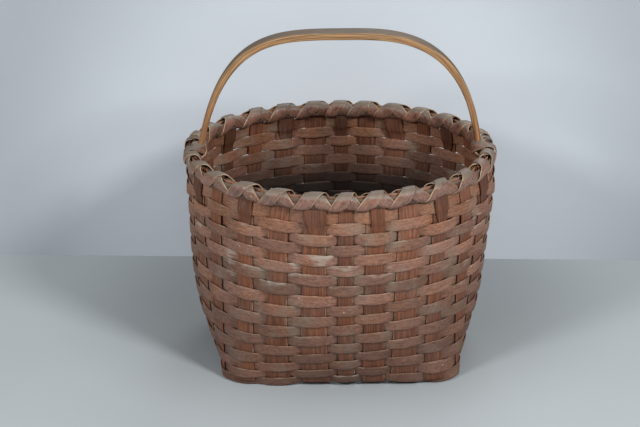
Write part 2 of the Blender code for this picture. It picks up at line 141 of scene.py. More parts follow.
# distance of a weaver's middle from the middle of the upright it passes
WEAVER_STAND = SPLINT_THICKNESS / 2 + WEAVER_THICKNESS / 2 + TOUCH_GAP
STEPS_PER_UPRIGHT = 14
SWING_INSET = 0.0016
OVER_REACH = 0.36
ROW_TRIM = 0.00012
ROW_RAGGED = 0.00022
TOP_ROW_RISE = 0.0015
LAP_LIFT = 1.25
BUTT_OVERRUN = 0.0005
FIRST_LAP_UPRIGHT = 15
LAP_SPREAD = 3

# Rim
HOOP_SPACE = 0.0043
HOOP_HEIGHT = 0.0105
HOOP_NEAR = 0.0037
HOOP_FAR = 0.0058
HOOP_THICKNESS = 0.0019
HOOP_STEPS = 224
RIM_GAP = 0.0003
FOLD_RISE = 0.0016
# section of the rim bundle: how square it is, half its width and height, steps round it
BUNDLE_POWER = 2.7
BUNDLE_HALF_SIZE = (0.0067, 0.0073)
OUTLINE_STEPS = 240
FINE_STEPS = 2400
LEG_REACH = 0.0079
LASHING_THICKNESS = 0.0008
CROSSING_LIFT = 0.00115
BACK_WRAP_SPREAD = 1.14
LOOPS_PER_LENGTH = 14

# Handle
HANDLE_HEIGHT = 0.3258
GRIP_WIDTH = 0.0242
LEG_WIDTH = 0.0160
LEG_TIP_WIDTH = 0.0110
HANDLE_THICKNESS = 0.0072
LEG_DEPTH = 0.0500
ARCH_CENTRE_HEIGHT = 0.1000
ARCH_SHIFT = 0.0111
LEFT_SHOULDER = (3.77, 0.109)
RIGHT_SHOULDER = (2.82, -0.065)
SHOULDER_STEPS = 52
LEG_THINNING = 0.88
GRIP_SWELL = 1.08
GRIP_LIFT = 0.0006
GRIP_BOTTOM = 0.23
GRIP_RISE = 0.09
OUTER_FACE_POWER = 7.5
INNER_FACE_POWER = 6.0
# distance from the middle to the outer face where the legs stand in the rim
LEG_SPAN = -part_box("handle")[0].x

# Stage and camera; angles in degrees, the lens in millimetres
STAGE_REACH = 4
BACKDROP_HEIGHT = 3
BACKDROP_Y = 0.220
BACKDROP_SLANT = 0.16
# centre and reach of the painted shadow on the floor round the basket's foot
FOOT_SHADE_CENTRE = (0.0, 0.1, 0.0)
FOOT_SHADE_REACH = (0.16, 0.34)
LAMP_AIM = (0, 0, 0.15)
LAMP_WHITE = (1.0, 0.98, 0.96)
CAMERA_AIM = (-0.020, 0, 0.1349)
CAMERA_DISTANCE = 1.6
CAMERA_ELEVATION = 19.8
CAMERA_ROLL = -0.34
CAMERA_LENS = 87.75

# Numbers of points across a strip and round the handle
ACROSS = 7
LASHING_ACROSS = 9
ROUND_HANDLE = 36

# across the strip: its points and their normals; how much painted shade it gets where tucked away,
# which also hides its worn line there; how much painted shade its inner face gets inside the wall
Station = namedtuple("Station", "points normals hidden inner", defaults=(0.0,))


# Small helpers
def mix(first, second, share):
    """Value between two others."""
    return first + (second - first) * share


def clamp(value):
    """Value kept between 0 and 1."""
    return min(max(value, 0.0), 1.0)


def ease(share):
    """Smooth step from 0 to 1."""
    share = clamp(share)
    return share * share * (3 - 2 * share)


def wobble(x, y, z):
    """Smooth repeatable noise between about -1 and 1."""
    return noise.noise(Vector((x, y, z)))


def squared(value, power):
    """Sine or cosine for a rounded square instead of a circle; a higher power is squarer."""
    return math.copysign(abs(value) ** (2 / power), value)


def ring_wobble(turn, frequency, seed):
    """Smooth noise that closes on itself round the basket."""
    angle = 2 * math.pi * turn
    return wobble(frequency * math.cos(angle), frequency * math.sin(angle), seed)


def curve_through(table, place):
    """Smooth curve through pairs of place and value."""
    last = len(table) - 1
    spot = max(i for i in range(last) if i == 0 or table[i][0] <= place)
    slopes = []
    for i in (spot, spot + 1):
        before, after = table[max(i - 1, 0)], table[min(i + 1, last)]
        slopes.append((after[1] - before[1]) / (after[0] - before[0]))
    (x0, y0), (x1, y1) = table[spot], table[spot + 1]
    span = x1 - x0
    t = (place - x0) / span
    return (
        (2 * t**3 - 3 * t**2 + 1) * y0
        + (t**3 - 2 * t**2 + t) * span * slopes[0]
        + (3 * t**2 - 2 * t**3) * y1
        + (t**3 - t**2) * span * slopes[1]
    )


# Wall surface
def base_point(turn):
    """Point of the rounded square at the foot of the wall, spaced evenly by length."""
    straight = BASE_HALF_SIDE - BASE_CORNER_RADIUS
    side = 2 * straight + math.pi / 2 * BASE_CORNER_RADIUS
    wall = math.floor(turn * 4 + 0.5)
    along = (turn * 4 - wall) * side
    bend = max(abs(along) - straight, 0.0) / BASE_CORNER_RADIUS
    across = min(abs(along), straight) + BASE_CORNER_RADIUS * math.sin(bend)
    out = straight + BASE_CORNER_RADIUS * math.cos(bend)
    angle = wall * math.pi / 2
    x = math.copysign(across, along)
    cos, sin = math.cos(angle), math.sin(angle)
    return Vector((x * cos + out * sin, x * sin - out * cos - BASE_SHIFT, 0.0))


def roundness(height):
    """How far the wall has turned from the square base to the round rim."""
    return 1 - (1 - clamp(height / WALL_HEIGHT)) ** FULLNESS_POWER


def dip(turn, height):
    """How far the wall hangs below its level at the front."""
    return FRONT_DIP * height / WALL_HEIGHT * max(math.cos(2 * math.pi * turn), 0.0) ** 2


def level_line(row):
    """Height of the line below a row, before it wanders; the lowest rows crowd together."""
    crowding = FOOT_CROWDING * (1 - row / ROW_COUNT) ** CROWDING_POWER
    return ROWS_TOP - ROW_PITCH * (ROW_COUNT - row) + crowding


HOOP_BOTTOM = ROWS_TOP + HOOP_SPACE
RIM_TOP = HOOP_BOTTOM + RIM_GAP + RIM_WEAVER_WIDTH


def belly(turn):
    """How far the wall swells beyond the rim."""
    side = math.sin(2 * math.pi * turn)
    return mix(FRONT_BELLY, RIGHT_BELLY if side > 0 else LEFT_BELLY, side**2)


def wall_point(turn, height):
    """Point of the wall's middle surface."""
    angle = 2 * math.pi * turn
    share = clamp(height / HOOP_BOTTOM)
    radius = RIM_RADIUS + belly(turn) * math.sin(math.pi * share**BELLY_POWER)
    point = base_point(turn).lerp(
        Vector((radius * math.sin(angle), -radius * math.cos(angle), 0.0)), roundness(height)
    )
    point.x += SIDE_SWAY * math.sin(math.pi * share**SWAY_POWER)
    point.z = height - dip(turn, height)
    return point


def wall_frame(turn, height):
    """Point of the wall and its outward direction."""
    up = (wall_point(turn, height + SLOPE_STEP) - wall_point(turn, height - SLOPE_STEP)).normalized()
    along = wall_point(turn + TURN_STEP, height) - wall_point(turn - TURN_STEP, height)
    return wall_point(turn, height), along.cross(up).normalized()


def girth(height):
    """Length round the wall."""
    base = 8 * (BASE_HALF_SIDE - BASE_CORNER_RADIUS) + 2 * math.pi * BASE_CORNER_RADIUS
    return mix(base, 2 * math.pi * RIM_RADIUS, roundness(height))


# Places of the uprights
def upright_shares(index):
    """Places and width share of an upright, in turn order; opposite walls share their splints."""
    wall, number = divmod(index % UPRIGHT_COUNT, UPRIGHTS_PER_SIDE)
    table = FRONT_SPLINT_SHARES if wall % 2 == 0 else SIDE_SPLINT_SHARES
    if wall < 2:
        return table[number]
    base, rim, width = table[UPRIGHTS_PER_SIDE - 1 - number]
    return -base, -rim, width


def upright_turn(index, height):
    """Turn of an upright's middle line; indexes past one round keep counting turns."""
    rounds, rest = divmod(index, UPRIGHT_COUNT)
    base, rim, _ = upright_shares(rest)
    place = mix(base, rim, clamp(height / WALL_HEIGHT))
    return rounds + rest // UPRIGHTS_PER_SIDE / 4 + place / UPRIGHT_COUNT


def upright_width(index, height):
    """Width of an upright, which tapers to the rim."""
    taper = mix(1.0, SPLINT_TAPER_SHARE, clamp(height / WALL_HEIGHT))
    return SPLINT_WIDTH * upright_shares(index)[2] * taper


def upright_edges(index, height):
    """Turns of an upright's two edges."""
    half = upright_width(index, height) / 2 / girth(height)
    middle = upright_turn(index, height)
    return middle - half, middle + half


def gap_turn(index):
    """Turn of the middle of the gap between an upright and the next, at the rim."""
    return (upright_edges(index, WALL_HEIGHT)[1] + upright_edges(index + 1, WALL_HEIGHT)[0]) / 2


def is_outside(index, row):
    """Whether the weaver passes outside the upright."""
    return (index + row) % 2 == 1


def row_sag(turn, height):
    """How far the rows hang below their level: at the corners' feet and round the front left one."""
    near_corner = (0.5 - 0.5 * math.cos(8 * math.pi * turn)) ** 2
    foot = CORNER_SAG * near_corner * (1 - ease(height / CORNER_SAG_TOP))
    away = abs((turn - LEFT_SAG_TURN + 0.5) % 1.0 - 0.5)
    span = (height - LEFT_SAG_BOTTOM) / (LEFT_SAG_TOP - LEFT_SAG_BOTTOM)
    left = LEFT_SAG * ease(1 - away / LEFT_SAG_REACH) * math.sin(math.pi * clamp(span))
    return max(foot, left)


def row_line(row, turn):
    """Height of the line between a row and the row below it, which wanders a little round the wall."""
    share = 0.3 if row in (0, ROW_COUNT) else 1.0
    sizes = bpy.context.scene.basket_sizes
    level = level_line(row)
    wander = ring_wobble(turn, 2.1, 7.3 * row) + 0.6 * ring_wobble(turn, 6.0, 3.1 * row + 50)
    return max(level - row_sag(turn, level) + share * sizes.row_wander * wander, LOWEST_LINE)


# Strips
def build_strip(name, stations, thickness, seed, material, closed=False, tint=0.0, low_edge=1.0):
    """Solid strip with rounded edges; low_edge is how strong the worn pale line along its first edge is
    against its last, which on the weavers leaves a painted highlight along their upper edges.
    """
    across_count = len(stations[0].points)
    loop_count = 2 * across_count + 2
    vertices, places, wear = [], [], []
    along = 0.0
    last_middle = None
    for station in stations:
        points, normals = station.points, station.normals
        middle = points[across_count // 2]
        if last_middle is not None:
            along += (middle - last_middle).length
        last_middle = middle
        half = thickness / 2
        left = (points[0] - points[1]).normalized()
        right = (points[-1] - points[-2]).normalized()
        loop = [p + n * half for p, n in zip(points, normals)]
        loop.append(points[-1] + right * half * 0.9)
        loop += [p - n * half for p, n in zip(reversed(points), reversed(normals))]
        loop.append(points[0] + left * half * 0.9)
        widths = [0.0]
        for first, second in zip(points, points[1:]):
            widths.append(widths[-1] + (second - first).length)
        full = max(widths[-1], 1e-6)
        spots = widths + [full + half] + widths[::-1] + [-half]
        vertices += loop
        for corner, spot in enumerate(spots):
            places.append((along, spot - full / 2, seed))
            side = clamp(abs(2 * spot / full - 1))
            edge = max(side * full / 2 - full / 2 + WORN_WIDTH, 0.0) / WORN_WIDTH
            depth = station.inner if corner > across_count else 0.0
            # painted shade: darker where the strip is tucked away and on its inner face inside the wall
            shade = (1 - 0.3 * station.hidden) * (1 - 0.93 * depth)
            patch = 0.7 * wobble(along * 16, seed * 3.1, 0.6)
            edge *= 1.0 if 2 * spot > full else low_edge
            wear.append((edge * max(1 - station.hidden, 0.0), shade, tint + patch))
    count = len(stations)
    faces = []
    for step in range(count if closed else count - 1):
        base, following = step * loop_count, (step + 1) % count * loop_count
        for i in range(loop_count):
            j = (i + 1) % loop_count
            faces.append((base + i, following + i, following + j, base + j))
    if not closed:
        for base, flip in ((0, False), ((count - 1) * loop_count, True)):
            for i in range(across_count - 1):
                j = 2 * across_count - i
                quad = (base + i, base + i + 1, base + j - 1, base + j)
                faces.append(quad[::-1] if flip else quad)
            ends = [
                (base, base + 2 * across_count, base + loop_count - 1),
                (base + across_count - 1, base + across_count, base + across_count + 1),
            ]
            faces += [end[::-1] if flip else end for end in ends]
    return finish_mesh(name, vertices, faces, places, wear, material)


def finish_mesh(name, vertices, faces, places, wear, material):
    """Mesh object that carries its place along the grain, and its worn line, painted shade and tone, as
    attributes.
    """
    mesh = bpy.data.meshes.new(name)
    mesh.from_pydata([tuple(v) for v in vertices], [], faces)
    for label, values in (("grain_place", places), ("wear", wear)):
        attribute = mesh.attributes.new(label, "FLOAT_VECTOR", "POINT")
        attribute.data.foreach_set("vector", [number for value in values for number in value])
    mesh.shade_smooth()
    mesh.materials.append(material)
    mesh.validate()
    piece = bpy.data.objects.new(name, mesh)
    bpy.context.scene.collection.objects.link(piece)
    return piece


def stand_for(piece, node):
    """Puts a finished piece in place of its CAD node."""
    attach(piece, "root")
    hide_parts(node)


def mid_station(first, second, share):
    """Station between two others."""
    return Station(
        [a.lerp(b, share) for a, b in zip(first.points, second.points)],
        [a.lerp(b, share).normalized() for a, b in zip(first.normals, second.normals)],
        mix(first.hidden, second.hidden, share),
        mix(first.inner, second.inner, share),
    )


def round_corners(stations, times):
    """Cuts the corners of a strip's path, keeping its two ends."""
    for _ in range(times):
        softer = [stations[0]]
        for first, second in zip(stations, stations[1:]):
            softer += [mid_station(first, second, 0.25), mid_station(first, second, 0.75)]
        stations = softer + [stations[-1]]
    return stations


def face_normals(stations, flip=1):
    """Stations with normals worked out from the strip's own surface."""
    facing = []
    last = len(stations) - 1
    for spot, station in enumerate(stations):
        before, after = stations[max(spot - 1, 0)].points, stations[min(spot + 1, last)].points
        across = station.points[-1] - station.points[0]
        normals = [across.cross(b - a).normalized() * flip for a, b in zip(before, after)]
        facing.append(station._replace(normals=normals))
    return facing


def inside_shade(height):
    """Painted shade on the inside of the wall at a height: none near the rim, darkest half way down, a
    little less near the base.
    """
    foot = mix(FOOT_DARKNESS, 1.0, ease((height - FOOT_DARK_BOTTOM) / FOOT_DARK_RISE))
    return ease((DARK_START - height) / DARK_DEPTH) * foot


# Weavers
def weaver_ends(row):
    """First upright of a weaver, how many it runs on from there, and whether it meets end to end."""
    covered = row == ROW_COUNT or row >= ROW_COUNT - TUCK_ROWS and row % 2 == 1
    start = FIRST_LAP_UPRIGHT + 2 * (row % LAP_SPREAD) + row % 2
    return start, UPRIGHT_COUNT if covered else UPRIGHT_COUNT + 1, covered


def weaver_stations(row, sizes):
    """Stations of one weaver, which swings from one face of the wall to the other between uprights."""
    start, last, covered = weaver_ends(row)
    rim = row == ROW_COUNT
    height = level_line(row + 0.5) if not rim else HOOP_BOTTOM + RIM_WEAVER_WIDTH / 2
    stand = WEAVER_STAND
    if row == ROW_COUNT - TUCK_ROWS:
        stand += SPLINT_THICKNESS + TOUCH_GAP
    stations = []
    steps = STEPS_PER_UPRIGHT
    for step in range(last * steps + 1):
        number, share = divmod(step, steps)
        number, share = (number, share / steps) if number < last else (last - 1, 1.0)
        offsets = []
        for k in (number, number + 1):
            lap = WEAVER_THICKNESS * LAP_LIFT if k in (1, UPRIGHT_COUNT) and not covered else 0.0
            offsets.append((stand + lap) * (1 if is_outside(start + k, row) else -1))
        here = upright_edges(start + number, height)
        there = upright_edges(start + number + 1, height)
        inset = SWING_INSET / girth(height)
        turn = mix(sum(here) / 2, sum(there) / 2, share)
        if covered and step in (0, last * steps):
            turn += math.copysign(BUTT_OVERRUN / girth(height), 1 if step == 0 else -1)
        swing = ease((turn - here[1] + inset) / (there[0] - here[1] + 2 * inset))
        offset = mix(offsets[0], offsets[1], swing)
        over = 1 - ease(min(share, 1 - share) / OVER_REACH)
        nearest = start + number + round(share)
        uneven = 1 + 0.9 * wobble(row * 3.71, nearest % UPRIGHT_COUNT * 5.13, 0.7)
        if not rim:
            offset += math.copysign(sizes.weaver_bulge * over * uneven, offset)
        outside = ease(offset / stand / 2 + 0.5)
        low, high = row_line(row, turn) + ROW_TRIM, row_line(row + 1, turn) - ROW_TRIM
        if rim:
            low, high = HOOP_BOTTOM + RIM_GAP, RIM_TOP
        else:
            swell = over * sizes.weaver_swell * uneven
            low += ROW_RAGGED * wobble(turn * 420, row * 9.1, 4.0) - swell
            high += ROW_RAGGED * wobble(turn * 390, row * 5.3, 9.0) + swell
            if row == ROW_COUNT - 1:
                high += TOP_ROW_RISE
        points, normals = [], []
        for j in range(ACROSS):
            v = 2 * j / (ACROSS - 1) - 1
            point, out = wall_frame(turn, mix(low, high, j / (ACROSS - 1)))
            curl = -sizes.weaver_crown * v * v * (1 if offset > 0 else -1) * over
            ridge = 0.00005 * wobble(v * 3.3 + row * 11.7, turn * 30, 2.2)
            points.append(point + out * (offset + curl + ridge))
            normals.append(out)
        # painted shade where the weaver passes behind an upright, and inside the wall
        stations.append(Station(points, normals, (1 - outside) ** 2 * 0.35, inside_shade(height)))
    return stations


# Uprights and base
def stake_waver(index, height):
    """How far the weavers press an upright out of the wall's middle surface."""
    row = (height - ROWS_TOP) / ROW_PITCH + ROW_COUNT - 0.5
    if row < -0.5 or row > ROW_COUNT - 1:
        return 0.0
    side = 1 if is_outside(index, 0) else -1
    return -PRESS * side * math.cos(math.pi * row)


def fold_path():
    """Path of a folded end, crest to tip: distance from the upright, height, share of width."""
    last_top = ROWS_TOP - ROW_GAP / 2
    covered = WEAVER_STAND + WEAVER_THICKNESS / 2 + SPLINT_THICKNESS / 2 + 0.0010
    foot = level_line(ROW_COUNT - 1) + ROW_GAP / 2 - 0.0003
    over = 0.0030
    crest = RIM_TOP + 0.0003 + SPLINT_THICKNESS / 2
    return (
        (0.0004, crest, 1.0),
        (over - 0.0005, crest, 1.0),
        (over, RIM_TOP - 0.0005, 1.0),
        (over, HOOP_BOTTOM, 1.0),
        (covered, last_top, 1.0),
        (covered + 0.0002, (last_top + foot) / 2, 0.97),
        (covered, foot, 0.86),
        (0.0020, foot - 0.0032, 0.70),
        (0.0016, foot - 0.0090, 0.42),
        (0.0016, foot - 0.0125, 0.26),
    )


def across_points(index, height, left_share, right_share, offset):
    """Points and normals across an upright, narrowed by a share on each side."""
    left, right = upright_edges(index, height)
    middle = (left + right) / 2
    left, right = mix(middle, left, left_share), mix(middle, right, right_share)
    points, normals = [], []
    for j in range(ACROSS):
        turn = mix(left, right, j / (ACROSS - 1))
        point, out = wall_frame(turn, height)
        ridge = 0.00006 * wobble((turn - middle) * 1500, index * 7.7, height * 6)
        points.append(point + out * (offset + ridge))
        normals.append(out)
    return points, normals


def upright_stations(index):
    """Stations of one upright, from the foot of the wall to the tip of its folded end."""
    stations = []
    for step in range(UPRIGHT_LEVELS + 1):
        height = mix(UPRIGHT_FOOT, HOOP_BOTTOM, step / UPRIGHT_LEVELS)
        fray = FRAY * wobble(height * 70, index * 3.9, 1.0)
        other = FRAY * wobble(height * 70, index * 3.9, 8.0)
        level = height + row_sag(upright_turn(index, height), height)
        points, normals = across_points(index, height, 1 + fray, 1 + other, stake_waver(index, level))
        row = sum(level_line(row) < level for row in range(1, ROW_COUNT))
        # painted shade where a weaver lies over the upright, and darker at its foot next to the floor
        hidden = 0.35 if is_outside(index, row) else 0.0
        hidden += 0.9 * (1 - ease(height / 0.012))
        stations.append(Station(points, normals, hidden, inside_shade(height)))
    side = 1 if index % 2 == 0 else -1
    slant = 1 if wobble(index * 5.37, 2.5, 0.5) > 0 else -1
    folded = []
    for distance, height, share in fold_path():
        if distance > 0.0025 or height < HOOP_BOTTOM:
            share *= NARROW_FOLDS.get(index, 1.0)
        straight = 1 - (1 - share) * 0.35
        shares = (share, straight) if slant > 0 else (straight, share)
        flat, normals = across_points(index, min(height, RIM_TOP), *shares, 0.0)
        rise = max(height - RIM_TOP, 0.0)
        points = [p + n * distance * side + Vector((0, 0, rise)) for p, n in zip(flat, normals)]
        # the folded end is drawn darker with painted shade
        folded.append(Station(points, normals, 1.1))
    return stations, round_corners([stations[-1]] + folded, 2)[1:]


def base_stations(index, others, axis):
    """Stations of a splint across the base; axis is 1 when it runs front to back, 0 side to side."""
    lowest = SPLINT_THICKNESS / 2 + 0.00005
    lift = SPLINT_THICKNESS + 0.0003
    left, right = (wall_point(turn, 0.0) for turn in upright_edges(index, 0.0))
    places = []
    for other in others:
        spans = [wall_point(turn, 0.0)[axis] for turn in upright_edges(other, 0.0)]
        front_back_below = (index + other) % 2 == 0
        height = lowest if front_back_below == (index < other) else lowest + lift
        ends = (min(spans), max(spans)) if axis else (max(spans), min(spans))
        third = (ends[1] - ends[0]) / 3
        places += [(ends[0] + third * k, height) for k in range(4)]
    stations = []
    for place, height in places:
        points = []
        for j in range(ACROSS):
            point = left.lerp(right, j / (ACROSS - 1))
            point[axis] = place
            point.z = height
            points.append(point)
        # painted shade on the base splints, stronger on their inner face
        stations.append(Station(points, [Vector((0, 0, -1))] * ACROSS, 0.2, inside_shade(0.0)))
    return stations


def splint_stations(index):
    """Stations of a whole splint: down one wall, across the base and up the opposite wall."""
    runs_front_back = index < UPRIGHTS_PER_SIDE
    opposite = (3 if runs_front_back else 5) * UPRIGHTS_PER_SIDE - 1 - index
    side_splints = range(UPRIGHTS_PER_SIDE, 2 * UPRIGHTS_PER_SIDE)
    crossed = side_splints if runs_front_back else reversed(range(UPRIGHTS_PER_SIDE))
    near, near_fold = upright_stations(index)
    far, far_fold = upright_stations(opposite)
    base = base_stations(index, crossed, 1 if runs_front_back else 0)
    whole = (near + near_fold)[::-1] + base
    whole += [s._replace(points=s.points[::-1], normals=s.normals[::-1]) for s in far + far_fold]
    return face_normals(round_corners(whole, 1), -1)


# Rim
def rim_point(turn, offset, height):
    """Point at a distance outside (or inside, if negative) the wall's middle surface at the rim."""
    angle = 2 * math.pi * turn
    radius = RIM_RADIUS + offset
    return Vector((radius * math.sin(angle), -radius * math.cos(angle), height - dip(turn, height)))


def bundle_outline():
    """Rounded outline of the rim bundle from its lowest point, outside first, in even steps."""
    fine = []
    for step in range(FINE_STEPS + 1):
        angle = 2 * math.pi * step / FINE_STEPS - math.pi / 2
        fine.append((squared(math.cos(angle), BUNDLE_POWER), squared(math.sin(angle), BUNDLE_POWER)))
    lengths = [0.0]
    wide, high = BUNDLE_HALF_SIZE
    for (x0, z0), (x1, z1) in zip(fine, fine[1:]):
        lengths.append(lengths[-1] + math.hypot((x1 - x0) * wide, (z1 - z0) * high))
    even, spot = [], 0
    for step in range(OUTLINE_STEPS + 1):
        target = lengths[-1] * step / OUTLINE_STEPS
        while spot < FINE_STEPS - 1 and lengths[spot + 1] < target:
            spot += 1
        even.append(fine[spot])
    return even, lengths[-1]


OUTLINE, OUTLINE_LENGTH = bundle_outline()
RIM_LENGTH = 2 * math.pi * RIM_RADIUS


def leg_away(place):
    """Distance round the rim from the nearer leg of the handle."""
    turn = place / RIM_LENGTH
    return (turn - round((turn - 0.25) * 2) / 2 - 0.25) * RIM_LENGTH


def bundle_point(place, around, distance):
    """Point on the rim bundle: place round the rim and length around its section, both in metres."""
    share = around / OUTLINE_LENGTH % 1.0 * OUTLINE_STEPS
    spot = int(share)
    (x0, z0), (x1, z1) = OUTLINE[spot], OUTLINE[min(spot + 1, OUTLINE_STEPS)]
    x, z = mix(x0, x1, share - spot), mix(z0, z1, share - spot)
    out = HOOP_FAR + distance
    half = (RIM_TOP + FOLD_RISE - HOOP_BOTTOM) / 2
    height = HOOP_BOTTOM + half + z * (half + distance)
    if x < 0:
        at_leg = 1 - ease((abs(leg_away(place)) - LEG_WIDTH / 2 - distance) / 0.009)
        out += LEG_REACH * at_leg
        height += 0.0035 * at_leg * max(z, 0.0)
    return rim_point(place / RIM_LENGTH, x * out, height)


def loop_table(gap, direction):
    """Places round the rim along one loop of a lashing, by share of the loop."""
    start, end = gap_turn(gap) * RIM_LENGTH, gap_turn(gap + 1) * RIM_LENGTH
    crest = upright_turn(gap + 1, WALL_HEIGHT) * RIM_LENGTH
    shift = 0.0022 * wobble(gap * 3.7, direction * 5.1, 0.3)
    if abs(leg_away(crest)) > LEG_WIDTH:
        steep = ease(ring_wobble((start + end) / 2 / RIM_LENGTH, 0.9, 4.4) * 2.2 + 0.25)
        low, high = mix(0.07, 0.30, steep), mix(0.84, 0.78, steep)
        crest += direction * mix(0.0014, 0.0006, steep)
        places = [(0, start), (0.125, mix(start, crest, low)), (0.375, mix(start, crest, high) + shift)]
        places += [(0.5, crest + shift), (0.625, mix(end, crest, high) + shift)]
        return places + [(0.875, mix(end, crest, low)), (1, end)]
    beside = LEG_WIDTH / 2 + 0.0066
    if direction > 0:
        crest -= beside
        places = [(0, start), (0.375, crest - 0.001), (0.5, crest), (0.57, crest + 0.001)]
        return places + [(0.95, end - 0.001), (1, end)]
    crest += beside
    places = [(0, start), (0.05, start + 0.001), (0.43, crest - 0.001), (0.5, crest)]
    return places + [(0.625, crest + 0.001), (1, end)]


def lashing_stations(first_gap, last_gap, direction, sizes):
    """Stations of one lashing; direction 1 climbs the outside first and lies over, -1 the inside."""
    stations = []
    steps = 30
    seed = 20 + direction * 7
    count = (last_gap - first_gap) * steps
    for step in range(count + 1):
        loop = min(step // steps, last_gap - first_gap - 1)
        share = step / steps - loop
        gap = first_gap + loop
        table = loop_table(gap, direction)
        place = curve_through(table, share)
        ahead, behind = min(share + 0.01, 1.0), max(share - 0.01, 0.0)
        run = (curve_through(table, ahead) - curve_through(table, behind)) / (ahead - behind)
        rise = OUTLINE_LENGTH * direction
        length = math.hypot(run, rise)
        width = sizes.lashing_width * (1 + 0.10 * wobble(gap * 2.3 + share * 1.7, seed, 0.0))
        backward = rim_point(gap / UPRIGHT_COUNT, 0.0, WALL_HEIGHT).y
        width *= mix(1.0, BACK_WRAP_SPREAD, ease((backward - 0.05) / 0.06))
        from_top = max(0.42 - share, share - 0.5) if direction > 0 else max(0.5 - share, share - 0.58)
        from_cross = min(share, max(from_top, 0.0), 1 - share)
        width *= mix(0.88, 1.0, ease(min(share, 1 - share) / 0.3))
        at_leg = abs(leg_away(upright_turn(gap + 1, WALL_HEIGHT) * RIM_LENGTH)) < LEG_WIDTH
        distance = 0.0008 + 0.0002 * wobble(gap * 1.9 + share * 3, seed, 3.0)
        if direction > 0:
            distance += CROSSING_LIFT * (1.0 if at_leg else 1 - ease((from_cross - 0.12) / 0.12))
        end_share = min(step, count - step) / (0.16 * steps)
        if end_share < 1:
            width *= mix(0.55, 1.0, end_share)
        points, normals = [], []
        for j in range(LASHING_ACROSS):
            side = 2 * j / (LASHING_ACROSS - 1) - 1
            v = side * width / 2
            x = place - rise / length * v
            y = share * rise + run / length * v
            points.append(bundle_point(x, y, distance + 0.0004 * (1 - side**2)))
            outward = bundle_point(x, y, distance + 0.001) - bundle_point(x, y, distance)
            normals.append(outward.normalized())
        # painted shade near the crossings, strong on the under lashing and slight on the over one
        hidden = (1 - ease(from_cross / 0.14)) * (0.8 if direction < 0 else 0.15)
        stations.append(Station(points, normals, hidden))
    return stations


def hoop_stations(side):
    """Stations round a hoop, whose far face is rounded and whose near face is flat."""
    stations = []
    half = HOOP_HEIGHT / 2
    for step in range(HOOP_STEPS):
        turn = step / HOOP_STEPS
        points, normals = [], []
        for j in range(ACROSS):
            v = 2 * j / (ACROSS - 1) - 1
            offset = mix(HOOP_NEAR, HOOP_FAR, 0.55) - 0.0004 * v * v
            offset += 0.00012 * ring_wobble(turn, 9.0, side * 4.0 + v)
            height = HOOP_BOTTOM + half + v * (half - 0.0008)
            points.append(rim_point(turn, side * offset, height))
            normals.append(rim_point(turn, side, height) - rim_point(turn, 0.0, height))
        # painted shade on the hoops, which lie under the lashing
        stations.append(Station(points, [n.normalized() for n in normals], 0.8))
    return stations


# Handle
def arch_half(side, power, lean, steps):
    """Points of one half of the arch as x, height and width, from the rim to just short of the peak."""
    foot = HOOP_BOTTOM + HOOP_HEIGHT
    rise_share = (foot - ARCH_CENTRE_HEIGHT) / (HANDLE_HEIGHT - ARCH_CENTRE_HEIGHT)
    first_angle = math.asin(rise_share ** (power / 2))
    foot_span = LEG_SPAN - side * ARCH_SHIFT
    reach = foot_span / math.cos(first_angle) ** (2 / power)
    points = []
    for step in range(steps):
        angle = mix(first_angle, math.pi / 2, step / steps)
        height = mix(ARCH_CENTRE_HEIGHT, HANDLE_HEIGHT, math.sin(angle) ** (2 / power))
        span = (reach + lean * (foot - height)) * math.cos(angle) ** (2 / power)
        points.append((ARCH_SHIFT + side * span, height, mix(LEG_WIDTH, GRIP_WIDTH, step / steps)))
    return points


def handle_path():
    """Handle's outer face from one leg's tip to the other's, as x, height and width."""
    foot = HOOP_BOTTOM
    tip = RIM_TOP - LEG_DEPTH
    legs = [(mix(tip, foot, k / 14), mix(LEG_TIP_WIDTH, LEG_WIDTH, k / 14)) for k in range(15)]
    legs += [(mix(foot, foot + HOOP_HEIGHT, k / 4), LEG_WIDTH) for k in range(1, 4)]
    left = [(-LEG_SPAN, z, w) for z, w in legs] + arch_half(-1, *LEFT_SHOULDER, SHOULDER_STEPS)
    right = [(LEG_SPAN, z, w) for z, w in legs] + arch_half(1, *RIGHT_SHOULDER, SHOULDER_STEPS)
    return left + [(ARCH_SHIFT, HANDLE_HEIGHT, GRIP_WIDTH)] + right[::-1]


